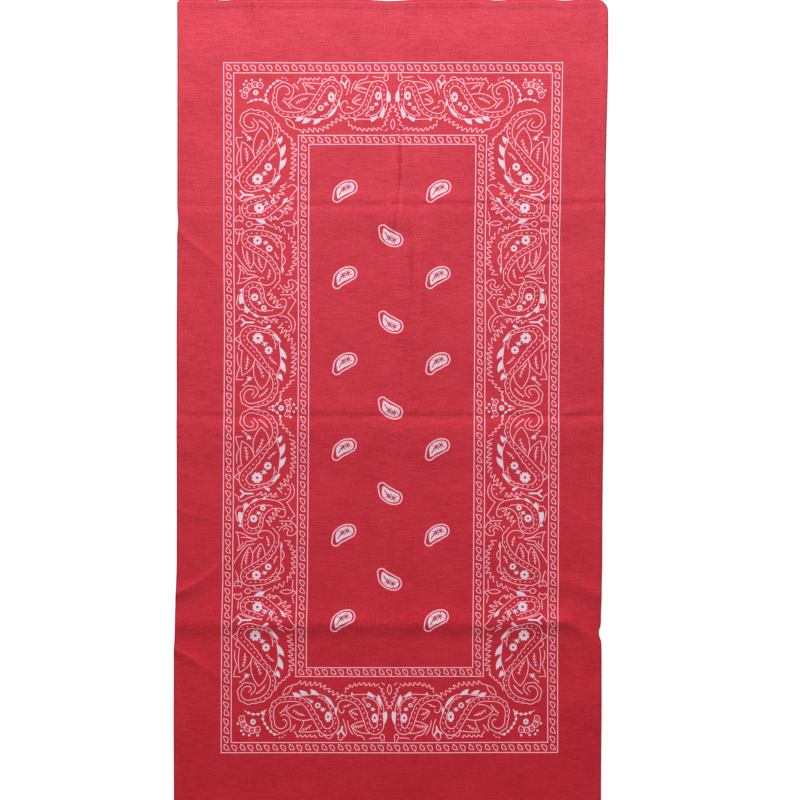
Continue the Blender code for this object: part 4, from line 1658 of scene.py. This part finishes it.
def stitch_tree(material):
    """Stitches along a line: bent bits of thread, turned along it, each a little differently."""
    tree = bpy.data.node_groups.new("Hem stitches", "GeometryNodeTree")
    sockets = {}
    for name, kind, default in (
        ("Line", "NodeSocketGeometry", None),
        ("Spacing", "NodeSocketFloat", 0.003),
        ("Stitch length", "NodeSocketFloat", 0.0024),
        ("Thread", "NodeSocketFloat", 0.0003),
        ("Seed", "NodeSocketInt", 0),
    ):
        socket = tree.interface.new_socket(name, in_out="INPUT", socket_type=kind)
        if default is not None:
            socket.default_value = default
        sockets[name] = socket.identifier
    tree.interface.new_socket("Stitches", in_out="OUTPUT", socket_type="NodeSocketGeometry")
    given = add_node(tree, "NodeGroupInput").outputs
    half = product(tree, given["Stitch length"], 0.5)
    minus = product(tree, half, -1.0)
    dip = product(tree, given["Thread"], -0.75)
    crown = product(tree, given["Thread"], 0.95)
    start = add_node(tree, "ShaderNodeCombineXYZ", [("X", minus), ("Z", dip)])
    middle = add_node(tree, "ShaderNodeCombineXYZ", [("Z", crown)])
    end = add_node(tree, "ShaderNodeCombineXYZ", [("X", half), ("Z", dip)])
    bow = add_node(tree, "GeometryNodeCurveQuadraticBezier", [
        ("Resolution", 5),
        ("Start", start.outputs[0]),
        ("Middle", middle.outputs[0]),
        ("End", end.outputs[0]),
    ])
    radius = product(tree, given["Thread"], 0.5)
    ring = add_node(tree, "GeometryNodeCurvePrimitiveCircle", [("Resolution", 6), ("Radius", radius)])
    thread = add_node(tree, "GeometryNodeCurveToMesh", [
        ("Curve", bow.outputs[0]),
        ("Profile Curve", ring.outputs[0]),
        ("Fill Caps", True),
    ])
    path = add_node(tree, "GeometryNodeMeshToCurve", [("Mesh", given["Line"])])
    spaced = add_node(tree, "GeometryNodeResampleCurve", [
        ("Curve", path.outputs[0]),
        ("Length", given["Spacing"]),
    ], mode="LENGTH")
    tangent = add_node(tree, "GeometryNodeInputTangent")
    turn = add_node(tree, "FunctionNodeAlignRotationToVector", [("Vector", tangent.outputs[0])], axis="X")
    wobble = add_node(tree, "FunctionNodeRandomValue", [
        (0, tuple(-turn for turn in STITCH_TURN)),
        (1, STITCH_TURN),
        ("Seed", given["Seed"]),
    ], data_type="FLOAT_VECTOR")
    small = add_node(tree, "FunctionNodeEulerToRotation", [(0, wobble.outputs[0])])
    both = add_node(tree, "FunctionNodeRotateRotation", [(0, turn.outputs[0]), (1, small.outputs[0])],
                    rotation_space="LOCAL")
    placed = add_node(tree, "GeometryNodeInstanceOnPoints", [
        ("Points", spaced.outputs[0]),
        ("Instance", thread.outputs[0]),
        ("Rotation", both.outputs[0]),
    ])
    real = add_node(tree, "GeometryNodeRealizeInstances", [(0, placed.outputs[0])])
    dressed = add_node(tree, "GeometryNodeSetMaterial", [
        ("Geometry", real.outputs[0]),
        ("Material", material),
    ])
    add_node(tree, "NodeGroupOutput", [(0, dressed.outputs[0])])
    return tree, sockets


def make_stitches(cloth, hems, material):
    """The seam line with the stitches' nodes on it, turned into one plain mesh."""
    points = seam_line(hems.inset, cloth, hems)
    count = len(points)
    mesh = bpy.data.meshes.new("seam_line")
    mesh.from_pydata(points.tolist(), [(i, (i + 1) % count) for i in range(count)], [])
    line = finished("seam_line", mesh)
    tree, sockets = stitch_tree(material)
    modifier = line.modifiers.new("Stitches", "NODES")
    modifier.node_group = tree
    modifier[sockets["Spacing"]] = hems.stitch_spacing
    modifier[sockets["Stitch length"]] = hems.stitch_length
    modifier[sockets["Thread"]] = hems.thread
    modifier[sockets["Seed"]] = hems.seed
    evaluated = line.evaluated_get(bpy.context.evaluated_depsgraph_get())
    stitched = bpy.data.meshes.new_from_object(evaluated)
    stitched.name = "hem_stitches"
    stitched.materials.clear()
    stitched.materials.append(material)
    stitched.polygons.foreach_set("material_index", np.zeros(len(stitched.polygons), dtype=np.int32))
    stitched.shade_smooth()
    bpy.data.objects.remove(line, do_unlink=True)
    return finished("hem_stitches", stitched)


# -------------------------------------------------------------------------------------- operators
class BANDANA_OT_cloth(Operator):
    """Make the printed cloth"""

    bl_idname = "bandana.make_cloth"
    bl_label = "Cloth"

    def execute(self, context):
        settings, hems = context.scene.bandana_cloth, context.scene.bandana_hem
        # The last finish is painted shade at the cloth's edge
        finishes = (dyed_cotton, printed_pigment, thin_pigment, edge_painted_shade_cotton)
        cloth = make_cloth(settings, hems, [finish(settings) for finish in finishes])
        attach(cloth, BODY)
        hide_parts("panel")
        return {"FINISHED"}


class BANDANA_OT_hems(Operator):
    """Make the four turned hems"""

    bl_idname = "bandana.make_hems"
    bl_label = "Hems"

    def execute(self, context):
        hems = context.scene.bandana_hem
        material = hem_cotton(context.scene.bandana_cloth)
        long_end = LENGTH / 2 - HEM_WIDTH - CORNER_GAP
        ends = {"top": WIDTH / 2, "bottom": WIDTH / 2, "left": long_end, "right": long_end}
        for edge, end in ends.items():
            hem = make_hem(f"hem_{edge}_fold", edge, (-end, end), hems, material)
            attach(hem, BODY)
            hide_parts(f"hem_{edge}")
        return {"FINISHED"}


class BANDANA_OT_stitches(Operator):
    bl_idname = "bandana.make_stitches"
    bl_label = "Stitches"

    def execute(self, context):
        cloth_settings, hems = context.scene.bandana_cloth, context.scene.bandana_hem
        stitches = make_stitches(cloth_settings, hems, sewing_thread(cloth_settings))
        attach(stitches, BODY)
        return {"FINISHED"}


class BANDANA_OT_stage(Operator):
    """Make the floor, the lights and the camera"""

    bl_idname = "bandana.make_stage"
    bl_label = "Stage"

    def execute(self, context):
        settings = context.scene.bandana_stage
        make_floor()
        make_lights(settings)
        make_camera(settings)
        return {"FINISHED"}


# The key light's width and height, where it stands, and the place it is aimed at
KEY_SIZE = (1.3, 0.7)
KEY_PLACE = (-0.25, 1.75, 1.05)
KEY_AIM = (0.0, 0.2, 0.0)
# Where the camera hangs over the cloth, across and along
CAMERA_PLACE = (0.0084, 0.0062)
# Half of the floor's side, and its height, a little under the cloth
FLOOR_HALF = 4.0
FLOOR_HEIGHT = -0.0006


def make_floor():
    """A wide plain floor of matte white board, so pale that it gives back nearly all light."""
    corners = [(x, y, FLOOR_HEIGHT) for x, y in (
        (-FLOOR_HALF, -FLOOR_HALF),
        (FLOOR_HALF, -FLOOR_HALF),
        (FLOOR_HALF, FLOOR_HALF),
        (-FLOOR_HALF, FLOOR_HALF),
    )]
    mesh = bpy.data.meshes.new("floor")
    mesh.from_pydata(corners, [], [(0, 1, 2, 3)])
    material, tree, shader = new_material("matte_white_board")
    shader.inputs["Base Color"].default_value = linear("f6f6f6")
    shader.inputs["Roughness"].default_value = 0.95
    shader.inputs["Emission Color"].default_value = linear("ffffff")
    shader.inputs["Emission Strength"].default_value = 0.35
    mesh.materials.append(material)
    finished("floor", mesh)


def make_lights(settings):
    """A large soft light past the far end, which rakes over the creases, and an even fill."""
    light = bpy.data.lights.new("key", "AREA")
    light.shape = "RECTANGLE"
    light.size, light.size_y = KEY_SIZE
    light.energy = settings.key_power
    key = bpy.data.objects.new("key", light)
    bpy.context.collection.objects.link(key)
    key.location = KEY_PLACE
    aim = Vector(KEY_AIM) - Vector(key.location)
    key.rotation_euler = aim.to_track_quat("-Z", "Y").to_euler()
    world = bpy.data.worlds.new("even_fill")
    world.use_nodes = True
    background = world.node_tree.nodes["Background"]
    background.inputs["Color"].default_value = linear("ffffff")
    background.inputs["Strength"].default_value = settings.fill
    bpy.context.scene.world = world


def make_camera(settings):
    """A long lens straight above the cloth, a little off its middle."""
    camera = bpy.data.cameras.new("camera")
    camera.sensor_width = 36.0
    camera.lens = camera.sensor_width * settings.camera_height / settings.view_width
    obj = bpy.data.objects.new("camera", camera)
    bpy.context.collection.objects.link(obj)
    obj.location = (*CAMERA_PLACE, settings.camera_height)
    bpy.context.scene.camera = obj
    bpy.context.scene.view_settings.view_transform = "Standard"


class BANDANA_PT_panel(Panel):
    """Lists the bandana's sizes and the steps that make it"""

    bl_label = "Bandana"
    bl_idname = "BANDANA_PT_panel"
    bl_space_type = "VIEW_3D"
    bl_region_type = "UI"
    bl_category = "Bandana"

    def draw(self, context):
        layout = self.layout
        for group, steps in (
            (context.scene.bandana_cloth, ("bandana.make_cloth",)),
            (context.scene.bandana_hem, ("bandana.make_hems", "bandana.make_stitches")),
            (context.scene.bandana_stage, ("bandana.make_stage",)),
        ):
            box = layout.box()
            for name in group.bl_rna.properties.keys():
                if name not in ("rna_type", "name"):
                    box.prop(group, name)
            for step in steps:
                box.operator(step)


CLASSES = (
    ClothSettings,
    HemSettings,
    StageSettings,
    BANDANA_OT_cloth,
    BANDANA_OT_hems,
    BANDANA_OT_stitches,
    BANDANA_OT_stage,
    BANDANA_PT_panel,
)


def register():
    for cls in CLASSES:
        bpy.utils.register_class(cls)
    bpy.types.Scene.bandana_cloth = PointerProperty(type=ClothSettings)
    bpy.types.Scene.bandana_hem = PointerProperty(type=HemSettings)
    bpy.types.Scene.bandana_stage = PointerProperty(type=StageSettings)


def unregister():
    del bpy.types.Scene.bandana_stage
    del bpy.types.Scene.bandana_hem
    del bpy.types.Scene.bandana_cloth
    for cls in reversed(CLASSES):
        bpy.utils.unregister_class(cls)


def main():
    register()
    bpy.ops.bandana.make_cloth()
    bpy.ops.bandana.make_hems()
    bpy.ops.bandana.make_stitches()
    bpy.ops.bandana.make_stage()


if __name__ == "__main__":
    main()
